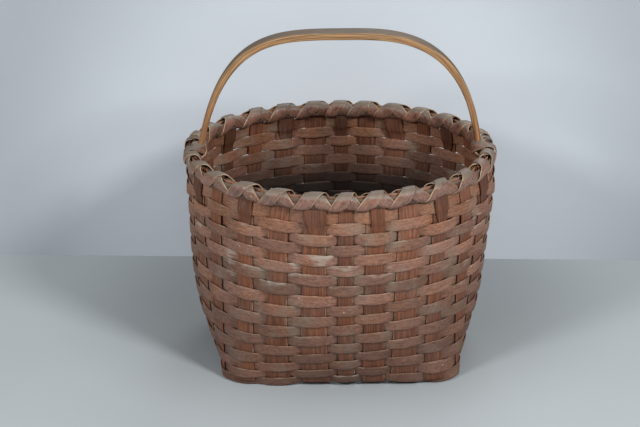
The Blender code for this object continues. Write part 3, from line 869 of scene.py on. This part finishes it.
def build_handle(material):
    """Carved handle: a rounded bar whose outer face is flatter than its inner one."""
    path = handle_path()
    vertices, faces, places, wear = [], [], [], []
    around = ROUND_HANDLE
    along = 0.0
    last = len(path) - 1
    for spot, (x, z, width) in enumerate(path):
        before, after = path[max(spot - 1, 0)], path[min(spot + 1, last)]
        direction = Vector((after[0] - before[0], 0, after[1] - before[1])).normalized()
        out = Vector((-direction.z, 0, direction.x))
        if spot:
            along += math.hypot(x - path[spot - 1][0], z - path[spot - 1][1])
        grip = ease((z - GRIP_BOTTOM) / GRIP_RISE)
        swell = mix(LEG_THINNING, GRIP_SWELL, grip)
        thick = HANDLE_THICKNESS * swell * (1 + 0.03 * wobble(along * 22, 3.3, 0.0))
        wide = width * (0.99 + 0.02 * wobble(along * 18, 9.9, 0.0))
        middle = Vector((x, 0.0003 * wobble(along * 14, 6.6, 0.0), z))
        middle += out * (GRIP_LIFT * grip - thick / 2)
        for k in range(around):
            angle = 2 * math.pi * k / around
            cos, sin = math.cos(angle), math.sin(angle)
            power = OUTER_FACE_POWER if sin > 0 else INNER_FACE_POWER
            y, n = squared(cos, power) * wide / 2, squared(sin, power) * thick / 2
            vertices.append(middle + Vector((0, y, 0)) + out * n)
            # the first value is the worn line along the arrises; the second is painted shade, darker on
            # the outer face and in a line along the inner arris; the last is painted light, lighter on
            # the broad faces
            edge = 1 - abs(abs(sin) - 0.7) / 0.3
            arris_shade = 1 - min(abs(sin + 0.82) / 0.14, 1.0)
            places.append((along, y + n, 0.0))
            wear.append((max(edge, 0.0), (0.85 - 0.15 * sin) * (1 - 0.45 * arris_shade), abs(cos) ** 3))
    for spot in range(last):
        for k in range(around):
            a, b = spot * around + k, spot * around + (k + 1) % around
            faces.append((a, b, b + around, a + around))
    faces.append(tuple(range(around))[::-1])
    faces.append(tuple(last * around + k for k in range(around)))
    return finish_mesh("handle_bow", vertices, faces, places, wear, material)


# Shader nodes
def wire(tree, kind, inputs=None, **settings):
    """Adds a node, sets it up and links or sets its inputs."""
    node = tree.nodes.new(kind)
    for name, value in settings.items():
        setattr(node, name, value)
    for name, value in (inputs or {}).items():
        socket = node.inputs[name]
        if isinstance(value, bpy.types.NodeSocket):
            tree.links.new(value, socket)
        else:
            socket.default_value = value
    return node


def math_node(tree, operation, first, second, clamp=False):
    """Result of one sum on two values."""
    node = wire(tree, "ShaderNodeMath", {0: first, 1: second}, operation=operation, use_clamp=clamp)
    return node.outputs[0]


def add(tree, first, second, clamp=False):
    """Sum of two values, kept between 0 and 1 if clamped."""
    return math_node(tree, "ADD", first, second, clamp)


def subtract(tree, first, second):
    """First value less the second."""
    return math_node(tree, "SUBTRACT", first, second)


def multiply(tree, first, second):
    """Product of two values."""
    return math_node(tree, "MULTIPLY", first, second)


def divide(tree, first, second):
    """First value over the second."""
    return math_node(tree, "DIVIDE", first, second)


def remap(tree, value, low, high, to_low=0.0, to_high=1.0):
    """Smooth remap of a value from one range to another."""
    inputs = {"Value": value, "From Min": low, "From Max": high, "To Min": to_low, "To Max": to_high}
    return wire(tree, "ShaderNodeMapRange", inputs, interpolation_type="SMOOTHSTEP").outputs[0]


def vector_node(tree, operation, first, second):
    """Result of one sum on two vectors, which is a value for a distance."""
    node = wire(tree, "ShaderNodeVectorMath", {0: first, 1: second}, operation=operation)
    return node.outputs["Value" if operation == "DISTANCE" else "Vector"]


def axes(tree, vector):
    """The three values of a vector."""
    return wire(tree, "ShaderNodeSeparateXYZ", {0: vector}).outputs


def object_place(tree):
    """Place in the object's own space."""
    return wire(tree, "ShaderNodeTexCoord").outputs["Object"]


def noise_texture(tree, place, scale, detail, roughness=0.5):
    """Value of a cloudy noise at a place."""
    inputs = {"Vector": place, "Scale": scale, "Detail": detail, "Roughness": roughness}
    return wire(tree, "ShaderNodeTexNoise", inputs).outputs["Fac"]


def stretched_noise(tree, place, stretch, detail, roughness):
    """Value of a noise whose scale differs along, across and from strip to strip."""
    return noise_texture(tree, vector_node(tree, "MULTIPLY", place, stretch), 1.0, detail, roughness)


def scale_colour(tree, colour, level):
    """Colour made lighter or darker by a factor."""
    return wire(tree, "ShaderNodeVectorMath", {0: colour, "Scale": level}, operation="SCALE").outputs[0]


def blend_colours(tree, share, first, second, blend_type="MIX"):
    """Mix of two colours."""
    node = wire(tree, "ShaderNodeMix", data_type="RGBA", blend_type=blend_type)
    for socket, value in ((node.inputs[0], share), (node.inputs[6], first), (node.inputs[7], second)):
        if isinstance(value, bpy.types.NodeSocket):
            tree.links.new(value, socket)
        else:
            socket.default_value = value if socket.type == "VALUE" else (*value, 1.0)[:4]
    return node.outputs[2]


def new_group(name, inputs, outputs):
    """Empty shader node group; an input without a default is a vector, all else are values."""
    tree = bpy.data.node_groups.new(name, "ShaderNodeTree")
    for label, default in inputs.items():
        kind = "NodeSocketVector" if default is None else "NodeSocketFloat"
        socket = tree.interface.new_socket(label, in_out="INPUT", socket_type=kind)
        if default is not None:
            socket.default_value = default
    for label in outputs:
        tree.interface.new_socket(label, in_out="OUTPUT", socket_type="NodeSocketFloat")
    return tree, tree.nodes.new("NodeGroupInput").outputs, tree.nodes.new("NodeGroupOutput").inputs


def grain_group():
    """Wood grain that runs along the strip: broad streaks and fine fibres."""
    tree, given, result = new_group(
        "Splint grain",
        {"Place": None, "Streak Size": 0.0016, "Fibre Size": 0.0004, "Stretch": 14.0},
        ("Streaks", "Fibres", "Mottle", "Height"),
    )
    x, y, z = axes(tree, given["Place"])
    grains = []
    for label, detail in (("Streak Size", 3.0), ("Fibre Size", 2.0)):
        size = given[label]
        long = divide(tree, x, multiply(tree, size, given["Stretch"]))
        place = wire(tree, "ShaderNodeCombineXYZ", {0: long, 1: divide(tree, y, size), 2: z})
        texture = noise_texture(tree, place.outputs[0], 1.0, detail, 0.6)
        grains.append(remap(tree, texture, 0.32, 0.68))
    streaks, fibres = grains
    mottle = stretched_noise(tree, given["Place"], (300.0, 520.0, 1.0), 4.0, 0.75)
    mottle = remap(tree, mottle, 0.3, 0.7)
    height = multiply(tree, add(tree, fibres, mottle), 0.5)
    for value, socket in zip((streaks, fibres, mottle, height), result):
        tree.links.new(value, socket)


def dust_group():
    """Grey dust: soft patches over the object, more of it on faces that look up."""
    tree, given, result = new_group(
        "Settled dust", {"Patch Size": 0.03, "Amount": 0.5, "Upward": 0.5}, ("Dust",)
    )
    scale = divide(tree, 1.0, given["Patch Size"])
    patches = noise_texture(tree, object_place(tree), scale, 5.0, 0.65)
    up = axes(tree, wire(tree, "ShaderNodeNewGeometry").outputs["Normal"])[2]
    lying = multiply(tree, remap(tree, up, 0.0, 1.0), given["Upward"])
    threshold = subtract(tree, 0.78, multiply(tree, given["Amount"], 0.5))
    threshold = subtract(tree, threshold, multiply(tree, lying, 0.4))
    above = subtract(tree, patches, threshold)
    tree.links.new(remap(tree, above, -0.08, 0.16), result["Dust"])


def warm_group():
    """Patches where the wood is more yellow than elsewhere."""
    tree, given, result = new_group("Warm patches", {"Size": 0.03, "Amount": 0.5}, ("Mask",))
    scale = divide(tree, 1.0, given["Size"])
    shifted = vector_node(tree, "ADD", object_place(tree), (0.37, 0.11, 0.53))
    mask = remap(tree, noise_texture(tree, shifted, scale, 4.0, 0.6), 0.46, 0.6)
    tree.links.new(multiply(tree, mask, given["Amount"]), result["Mask"])


def edge_group():
    """Broken worn line along the edges of a strip."""
    tree, given, result = new_group("Edge wear", {"Edge": 0.0, "Place": None, "Amount": 0.5}, ("Wear",))
    breaks = stretched_noise(tree, given["Place"], (90.0, 260.0, 1.0), 3.0, 0.6)
    threshold = subtract(tree, 1.5, given["Amount"])
    above = subtract(tree, add(tree, given["Edge"], breaks), threshold)
    tree.links.new(remap(tree, above, 0.0, 0.25), result["Wear"])


def scuff_group():
    """Pale scuffs: clusters of short streaks along the grain, mostly towards a strip's upper edge."""
    tree, given, result = new_group("Scuffs", {"Place": None, "Amount": 0.5}, ("Scuffs",))
    streaks = stretched_noise(tree, given["Place"], (110.0, 900.0, 1.0), 3.0, 0.7)
    place = object_place(tree)
    clusters = noise_texture(tree, place, 26.0, 3.0, 0.6)
    across = axes(tree, given["Place"])[1]
    upper = multiply(tree, remap(tree, across, -0.001, 0.0045), 0.10)
    total = add(tree, multiply(tree, streaks, 0.55), upper)
    total = add(tree, total, multiply(tree, clusters, 0.95))
    height = axes(tree, place)[2]
    band = multiply(tree, remap(tree, height, 0.06, 0.13), remap(tree, height, 0.175, 0.155))
    total = add(tree, total, multiply(tree, band, 0.10))
    threshold = subtract(tree, 1.2, multiply(tree, given["Amount"], 0.4))
    tree.links.new(remap(tree, subtract(tree, total, threshold), 0.0, 0.12), result["Scuffs"])


def fleck_group():
    """Small pale flecks scattered over the surface."""
    tree, given, result = new_group("Pale flecks", {"Size": 0.02, "Amount": 0.3}, ("Flecks",))
    place = object_place(tree)
    inputs = {"Vector": place, "Scale": divide(tree, 1.0, given["Size"]), "Randomness": 1.0}
    cells = wire(tree, "ShaderNodeTexVoronoi", inputs).outputs
    rough = multiply(tree, noise_texture(tree, place, 420.0, 2.0), 0.16)
    spot = remap(tree, add(tree, cells["Distance"], rough), 0.13, 0.16, 1.0, 0.0)
    chosen = wire(tree, "ShaderNodeSeparateColor", {0: cells["Color"]}).outputs[0]
    kept = math_node(tree, "LESS_THAN", chosen, given["Amount"])
    tree.links.new(multiply(tree, spot, kept), result["Flecks"])


def build_groups():
    """Makes each shared node group once."""
    if "Splint grain" not in bpy.data.node_groups:
        for group in (grain_group, dust_group, warm_group, edge_group, scuff_group, fleck_group):
            group()


def place_group(tree, name, inputs):
    """Outputs of a shared node group placed in a material with its own values."""
    return wire(tree, "ShaderNodeGroup", inputs, node_tree=bpy.data.node_groups[name]).outputs


def new_material(name):
    """Material with its nodes and its shader."""
    material = bpy.data.materials.new(name)
    material.use_nodes = True
    return material, material.node_tree, material.node_tree.nodes["Principled BSDF"]


# What every wood starts from; each kind of piece changes some of it
FINISH = {
    "streak": 0.0016, "fibre": 0.0005, "stretch": 9.0, "mottle": 0.6, "patch": 0.03, "dust": 0.5,
    "upward": 0.3, "dust_cover": 0.6, "edge": 0.5, "scuffs": 0.0, "flecks": 0.1, "rough": 0.65,
    "bump": 0.5, "gloss": 0.35, "warm": 0.3, "warm_top": 0.0, "red_foot": 0.0, "foot_light": 1.0,
    "top_light": 1.0,
}
WARM_TINT = (1.14, 0.98, 0.72)
RED_TINT = (0.82, 0.56, 0.56)
SCUFF_COLOUR = (0.42, 0.38, 0.32)
FLECK_COLOUR = (0.55, 0.52, 0.46)


def wood_material(name, dark, light, worn, **changes):
    """Aged wood: grain between two colours, settled dust and worn edges, with painted shade in tucked
    places and painted light that changes with height.
    """
    build_groups()
    finish = dict(FINISH, **changes)
    material, tree, shader = new_material(name)
    place = wire(tree, "ShaderNodeAttribute", attribute_name="grain_place").outputs["Vector"]
    wear = wire(tree, "ShaderNodeAttribute", attribute_name="wear").outputs["Vector"]
    line, shade, tint = axes(tree, wear)
    height = axes(tree, object_place(tree))[2]
    grain = place_group(
        tree, "Splint grain",
        {"Place": place, "Streak Size": finish["streak"], "Fibre Size": finish["fibre"],
         "Stretch": finish["stretch"]},
    )
    dust = place_group(
        tree, "Settled dust",
        {"Patch Size": finish["patch"], "Amount": finish["dust"], "Upward": finish["upward"]},
    )[0]
    edge = place_group(tree, "Edge wear", {"Edge": line, "Place": place, "Amount": finish["edge"]})[0]
    scuffs = place_group(tree, "Scuffs", {"Place": place, "Amount": finish["scuffs"]})[0]
    flecks = place_group(tree, "Pale flecks", {"Size": 0.014, "Amount": finish["flecks"]})[0]
    warm = place_group(tree, "Warm patches", {"Size": 0.035, "Amount": finish["warm"]})[0]
    streaks = multiply(tree, grain["Streaks"], 1 - finish["mottle"])
    streaks = add(tree, streaks, multiply(tree, grain["Mottle"], finish["mottle"]))
    streaks = add(tree, multiply(tree, streaks, 0.75), multiply(tree, grain["Fibres"], 0.25))
    colour = blend_colours(tree, streaks, dark, light)
    # tone that differs from strip to strip; on the handle this value is painted light on its broad
    # faces
    colour = scale_colour(tree, colour, remap(tree, tint, -1.0, 1.0, 0.72, 1.28))
    warm_top = multiply(tree, remap(tree, height, 0.150, 0.188), finish["warm_top"])
    colour = blend_colours(tree, add(tree, warm, warm_top, True), colour, WARM_TINT, "MULTIPLY")
    if finish["red_foot"]:
        low = multiply(tree, remap(tree, height, 0.21, 0.29, 1.0, 0.0), finish["red_foot"])
        colour = blend_colours(tree, low, colour, RED_TINT, "MULTIPLY")
    dusty = bpy.context.scene.basket_colours.dust
    for mask, share, cover in (
        (dust, finish["dust_cover"], dusty),
        (edge, 0.75, worn),
        (scuffs, 0.6, SCUFF_COLOUR),
        (flecks, 0.6, FLECK_COLOUR),
    ):
        colour = blend_colours(tree, multiply(tree, mask, share), colour, cover)
    # painted light: darker towards the foot and lighter towards the top, times the painted shade
    # carried by the mesh
    level = remap(tree, height, 0.04, 0.18, finish["foot_light"], finish["top_light"])
    colour = scale_colour(tree, colour, multiply(tree, level, shade))
    tree.links.new(colour, shader.inputs["Base Color"])
    coarse, smooth = finish["rough"] + 0.1, finish["rough"] - 0.08
    rough = remap(tree, grain["Fibres"], 0.0, 1.0, coarse, smooth)
    rough = add(tree, rough, multiply(tree, dust, 0.2), True)
    tree.links.new(rough, shader.inputs["Roughness"])
    relief = {"Height": grain["Height"], "Strength": finish["bump"], "Distance": 0.0004}
    tree.links.new(wire(tree, "ShaderNodeBump", relief).outputs[0], shader.inputs["Normal"])
    shader.inputs["Specular IOR Level"].default_value = finish["gloss"]
    return material


# Properties
def colour_property(name, description, default):
    """Colour that a user may change."""
    return bpy.props.FloatVectorProperty(
        name=name, description=description, default=default, size=3, min=0.0, max=1.0, subtype="COLOR"
    )


def length_property(name, description, default, most, least=0.0):
    """Length that a user may change."""
    return bpy.props.FloatProperty(
        name=name, description=description, default=default, min=least, max=most, unit="LENGTH"
    )


class BasketSizes(bpy.types.PropertyGroup):
    row_wander: length_property(
        "Row wander", "How far the lines between rows wander up and down", 0.0008, 0.002
    )
    weaver_bulge: length_property(
        "Weaver bulge", "How far a weaver stands out over the middle of an upright", 0.0006, 0.002
    )
    weaver_swell: length_property(
        "Weaver swell", "How far a weaver spreads up and down over an upright", 0.0005, 0.001
    )
    weaver_crown: length_property(
        "Weaver crown", "How far a weaver's edges curl back over an upright", 0.0001, 0.001
    )
    lashing_width: length_property(
        "Lashing width", "Width of the strips wound round the rim", 0.0119, 0.016, 0.006
    )


class BasketColours(bpy.types.PropertyGroup):
    weaver_dark: colour_property("Weaver dark", "Dark grain of the weavers", (0.095, 0.044, 0.030))
    weaver_light: colour_property("Weaver light", "Light grain of the weavers", (0.335, 0.176, 0.125))
    splint_dark: colour_property("Upright dark", "Dark grain of the uprights", (0.060, 0.025, 0.015))
    splint_light: colour_property("Upright light", "Light grain of the uprights", (0.232, 0.092, 0.052))
    hoop_dark: colour_property("Hoop dark", "Dark grain of the rim hoops", (0.055, 0.025, 0.018))
    hoop_light: colour_property("Hoop light", "Light grain of the rim hoops", (0.270, 0.135, 0.102))
    lashing_dark: colour_property("Lashing dark", "Dark grain of the lashing", (0.038, 0.017, 0.013))
    lashing_light: colour_property("Lashing light", "Light grain of the lashing", (0.450, 0.225, 0.160))
    handle_dark: colour_property("Handle dark", "Dark grain of the handle", (0.120, 0.055, 0.025))
    handle_light: colour_property("Handle light", "Light grain of the handle", (0.590, 0.345, 0.155))
    worn_edge: colour_property("Worn edge", "Pale wood where edges are worn", (0.600, 0.420, 0.240))
    weave_edge: colour_property("Weave edge", "Worn edges of the weave", (0.380, 0.290, 0.200))
    dust: colour_property("Dust", "Grey dust on the weave", (0.230, 0.200, 0.155))


class BasketLight(bpy.types.PropertyGroup):
    key_power: bpy.props.FloatProperty(
        name="Key lamp", description="Power of the large lamp on the right",
        default=34.0, min=0.0, unit="POWER",
    )
    fill_power: bpy.props.FloatProperty(
        name="Fill lamp", description="Power of the soft lamp on the left",
        default=19.0, min=0.0, unit="POWER",
    )
    sky_strength: bpy.props.FloatProperty(
        name="Room light", description="Strength of the even light from all round",
        default=0.22, min=0.0,
    )
    floor_colour: colour_property("Floor", "Colour of the table", (0.550, 0.608, 0.638))
    wall_colour: colour_property("Wall", "Colour of the backdrop", (0.700, 0.765, 0.830))


# Operators
class BASKET_OT_splints(bpy.types.Operator):
    """Builds the fourteen flat splints that form the base and the uprights"""

    bl_idname = "basket.splints"
    bl_label = "Base and uprights"

    def execute(self, context):
        colours = context.scene.basket_colours
        material = wood_material(
            "upright_wood", colours.splint_dark, colours.splint_light, colours.weave_edge,
            streak=0.0013, stretch=26.0, mottle=0.2, dust=0.3, edge=0.05, rough=0.62, flecks=0.04,
            warm=0.7, top_light=1.35,
        )
        for number in range(2 * UPRIGHTS_PER_SIDE):
            family = "front_back_splint" if number < UPRIGHTS_PER_SIDE else "side_splint"
            node = f"{family}_{number % UPRIGHTS_PER_SIDE + 1}"
            tint = 0.7 * wobble(number * 4.7, 1.5, 2.5)
            stations, seed = splint_stations(number), number * 1.7
            piece = build_strip(f"{node}_wood", stations, SPLINT_THICKNESS, seed, material, tint=tint)
            stand_for(piece, node)
        return {"FINISHED"}


class BASKET_OT_weavers(bpy.types.Operator):
    """Builds the nineteen rows of weavers"""

    bl_idname = "basket.weavers"
    bl_label = "Weavers"

    def execute(self, context):
        colours, sizes = context.scene.basket_colours, context.scene.basket_sizes
        material = wood_material(
            "weaver_wood", colours.weaver_dark, colours.weaver_light, colours.weave_edge,
            dust=0.43, dust_cover=0.55, upward=0.15, edge=0.08, scuffs=0.5, rough=0.62, flecks=0.16,
            warm=0.4, warm_top=0.5, foot_light=0.86, top_light=1.30,
        )
        for row in range(ROW_COUNT + 1):
            node = f"weaver_row_{row + 1:02d}"
            tint = 0.9 * wobble(row * 3.9, 7.5, 1.5)
            # the weaker worn line on the lower edges leaves a painted highlight along the upper edges
            piece = build_strip(
                f"{node}_wood", weaver_stations(row, sizes), WEAVER_THICKNESS, row * 2.3, material,
                tint=tint, low_edge=0.7,
            )
            stand_for(piece, node)
        return {"FINISHED"}


class BASKET_OT_hoops(bpy.types.Operator):
    """Builds the two hoops that clamp the top of the weave"""

    bl_idname = "basket.hoops"
    bl_label = "Rim hoops"

    def execute(self, context):
        colours = context.scene.basket_colours
        material = wood_material(
            "hoop_wood", colours.hoop_dark, colours.hoop_light, colours.worn_edge,
            streak=0.0015, stretch=30.0, mottle=0.2, dust=0.35, upward=0.9, dust_cover=0.75, edge=0.12,
            rough=0.5, flecks=0.0, gloss=0.5,
        )
        for node, side in (("inner_rim_hoop", -1), ("outer_rim_hoop", 1)):
            stations, seed = hoop_stations(side), side * 3.0
            piece = build_strip(f"{node}_wood", stations, HOOP_THICKNESS, seed, material, closed=True)
            stand_for(piece, node)
        return {"FINISHED"}


class BASKET_OT_lashings(bpy.types.Operator):
    """Winds the two crossed lashings round the rim, each in two lengths"""

    bl_idname = "basket.lashings"
    bl_label = "Rim lashings"

    def execute(self, context):
        colours, sizes = context.scene.basket_colours, context.scene.basket_sizes
        material = wood_material(
            "lashing_wood", colours.lashing_dark, colours.lashing_light, colours.worn_edge,
            streak=0.0012, stretch=22.0, mottle=0.60, dust=0.28, upward=1.0, dust_cover=0.75, edge=0.3,
            scuffs=0.45, rough=0.30, flecks=0.02, gloss=0.8,
        )
        for layer, direction in (("under", -1), ("over", 1)):
            for place, first in (("front", -5), ("back", 9)):
                node = f"{layer}_lashing_{place}"
                stations = lashing_stations(first, first + LOOPS_PER_LENGTH, direction, sizes)
                seed, tint = first + direction * 2.6, 0.2 * direction
                piece = build_strip(
                    f"{node}_wood", stations, LASHING_THICKNESS, seed, material, tint=tint
                )
                stand_for(piece, node)
        return {"FINISHED"}


class BASKET_OT_handle(bpy.types.Operator):
    """Builds the bent handle whose legs stand inside the inner hoop"""

    bl_idname = "basket.handle"
    bl_label = "Handle"

    def execute(self, context):
        colours = context.scene.basket_colours
        material = wood_material(
            "handle_wood", colours.handle_dark, colours.handle_light, colours.worn_edge,
            streak=0.0010, stretch=60.0, mottle=0.08, dust=0.2, upward=0.9, dust_cover=0.7, edge=0.3,
            rough=0.4, flecks=0.0, gloss=0.5, red_foot=0.5,
        )
        piece = build_handle(material)
        stand_for(piece, "handle")
        return {"FINISHED"}


class BASKET_OT_stage(bpy.types.Operator):
    """Sets up the floor, backdrop, lamps and camera"""

    bl_idname = "basket.stage"
    bl_label = "Floor, lamps and camera"

    def execute(self, context):
        light = context.scene.basket_light
        build_stage(light)
        build_lamps(light)
        build_camera()
        context.scene.view_settings.view_transform = "Standard"
        return {"FINISHED"}


def flat_sheet(name, corners, material):
    """Flat four-cornered sheet of the stage."""
    mesh = bpy.data.meshes.new(name)
    mesh.from_pydata(corners, [], [(0, 1, 2, 3)])
    mesh.materials.append(material)
    sheet = bpy.data.objects.new(name, mesh)
    bpy.context.scene.collection.objects.link(sheet)
    return sheet


def stage_material(name, colour, bright_spot, reach, dimmest, foot_shade=1.0):
    """Matt paint with a painted pool of light near one spot, dimmer away from it, and a painted shadow
    round the basket's foot; its back is clear.
    """
    material, tree, shader = new_material(name)
    place = object_place(tree)
    share = remap(tree, noise_texture(tree, place, 3.0, 3.0), 0.3, 0.7)
    paint = blend_colours(tree, share, tuple(c * 0.98 for c in colour), tuple(c * 1.02 for c in colour))
    away = vector_node(tree, "DISTANCE", place, bright_spot)
    light = remap(tree, away, *reach, 1.0, dimmest)
    away = vector_node(tree, "DISTANCE", place, FOOT_SHADE_CENTRE)
    light = multiply(tree, light, remap(tree, away, *FOOT_SHADE_REACH, foot_shade, 1.0))
    tree.links.new(scale_colour(tree, paint, light), shader.inputs["Base Color"])
    shader.inputs["Roughness"].default_value = 0.85
    shader.inputs["Specular IOR Level"].default_value = 0.2
    facing = wire(tree, "ShaderNodeNewGeometry")
    tree.links.new(subtract(tree, 1.0, facing.outputs["Backfacing"]), shader.inputs["Alpha"])
    return material


def build_stage(light):
    """Pale floor and a pale wall close behind the basket, further behind it on the left, both painted
    with light and shade.
    """
    far, top = STAGE_REACH, BACKDROP_HEIGHT
    floor_colour, wall_colour = tuple(light.floor_colour), tuple(light.wall_colour)
    # the floor's painted pool of light, and its painted shadow round the basket's foot
    bright_spot = (0.05, -0.75, 0.0)
    floor_paint_and_shade = stage_material("floor_paint_and_shade", floor_colour, bright_spot, (0.45, 0.95), 0.94, 0.74)
    corners = [(-far, -far, 0), (far, -far, 0), (far, far, 0), (-far, far, 0)]
    floor = flat_sheet("floor", corners, floor_paint_and_shade)
    floor.location.z = -0.0001
    # the wall's painted pool of light, dimmer away from it
    bright_spot = (0.0, BACKDROP_Y, 0.1)
    wall_paint_and_shade = stage_material("wall_paint_and_shade", wall_colour, bright_spot, (0.2, 0.42), 0.66)
    left, right = BACKDROP_Y + BACKDROP_SLANT, BACKDROP_Y - BACKDROP_SLANT
    corners = [(-far, left, 0), (far, right, 0), (far, right, top), (-far, left, top)]
    wall = flat_sheet("backdrop", corners, wall_paint_and_shade)
    wall.visible_shadow = False
    wall.visible_diffuse = False
    wall.visible_glossy = False


def area_lamp(name, place, size, power, colour):
    """Large soft lamp turned towards the basket."""
    data = bpy.data.lights.new(name, "AREA")
    data.shape = "DISK"
    data.size = size
    data.energy = power
    data.color = colour
    lamp = bpy.data.objects.new(name, data)
    lamp.location = place
    lamp.rotation_euler = (Vector(LAMP_AIM) - Vector(place)).to_track_quat("-Z", "Y").to_euler()
    bpy.context.scene.collection.objects.link(lamp)


def build_lamps(light):
    """Soft lamps on the right and left of the camera, a weak one behind and even room light."""
    area_lamp("key_lamp", (1.3, -1.5, 1.45), 0.5, light.key_power, LAMP_WHITE)
    area_lamp("fill_lamp", (-1.4, -1.4, 1.2), 0.5, light.fill_power, LAMP_WHITE)
    area_lamp("back_lamp", (0.4, 1.7, 1.5), 1.0, light.fill_power / 2, (0.95, 0.97, 1.0))
    world = bpy.data.worlds.new("room")
    bpy.context.scene.world = world
    world.use_nodes = True
    shade = world.node_tree.nodes["Background"]
    shade.inputs["Color"].default_value = (0.93, 0.96, 1.0, 1.0)
    shade.inputs["Strength"].default_value = light.sky_strength


def build_camera():
    """Camera at the photograph's place."""
    elevation = math.radians(CAMERA_ELEVATION)
    back = Vector((0, -math.cos(elevation), math.sin(elevation)))
    data = bpy.data.cameras.new("camera")
    data.lens = CAMERA_LENS
    data.sensor_width = 36
    camera = bpy.data.objects.new("camera", data)
    camera.location = Vector(CAMERA_AIM) + back * CAMERA_DISTANCE
    tilt = Quaternion((0, 0, 1), math.radians(CAMERA_ROLL))
    camera.rotation_euler = (back.to_track_quat("Z", "Y") @ tilt).to_euler()
    bpy.context.scene.collection.objects.link(camera)
    bpy.context.scene.camera = camera


class BASKET_PT_panel(bpy.types.Panel):
    bl_label = "Splint basket"
    bl_idname = "BASKET_PT_panel"
    bl_space_type = "VIEW_3D"
    bl_region_type = "UI"
    bl_category = "Basket"

    def draw(self, context):
        layout = self.layout
        for operator in OPERATORS:
            layout.operator(operator.bl_idname)
        for group in ("basket_sizes", "basket_colours", "basket_light"):
            box = layout.box()
            settings = getattr(context.scene, group)
            for name in settings.__annotations__:
                box.prop(settings, name)


OPERATORS = (
    BASKET_OT_splints,
    BASKET_OT_weavers,
    BASKET_OT_hoops,
    BASKET_OT_lashings,
    BASKET_OT_handle,
    BASKET_OT_stage,
)
CLASSES = (BasketSizes, BasketColours, BasketLight, *OPERATORS, BASKET_PT_panel)


def register():
    for item in CLASSES:
        bpy.utils.register_class(item)
    bpy.types.Scene.basket_sizes = bpy.props.PointerProperty(type=BasketSizes)
    bpy.types.Scene.basket_colours = bpy.props.PointerProperty(type=BasketColours)
    bpy.types.Scene.basket_light = bpy.props.PointerProperty(type=BasketLight)


def unregister():
    for name in ("basket_light", "basket_colours", "basket_sizes"):
        delattr(bpy.types.Scene, name)
    for item in reversed(CLASSES):
        bpy.utils.unregister_class(item)


def main():
    register()
    bpy.ops.basket.splints()
    bpy.ops.basket.weavers()
    bpy.ops.basket.hoops()
    bpy.ops.basket.lashings()
    bpy.ops.basket.handle()
    bpy.ops.basket.stage()


if __name__ == "__main__":
    main()
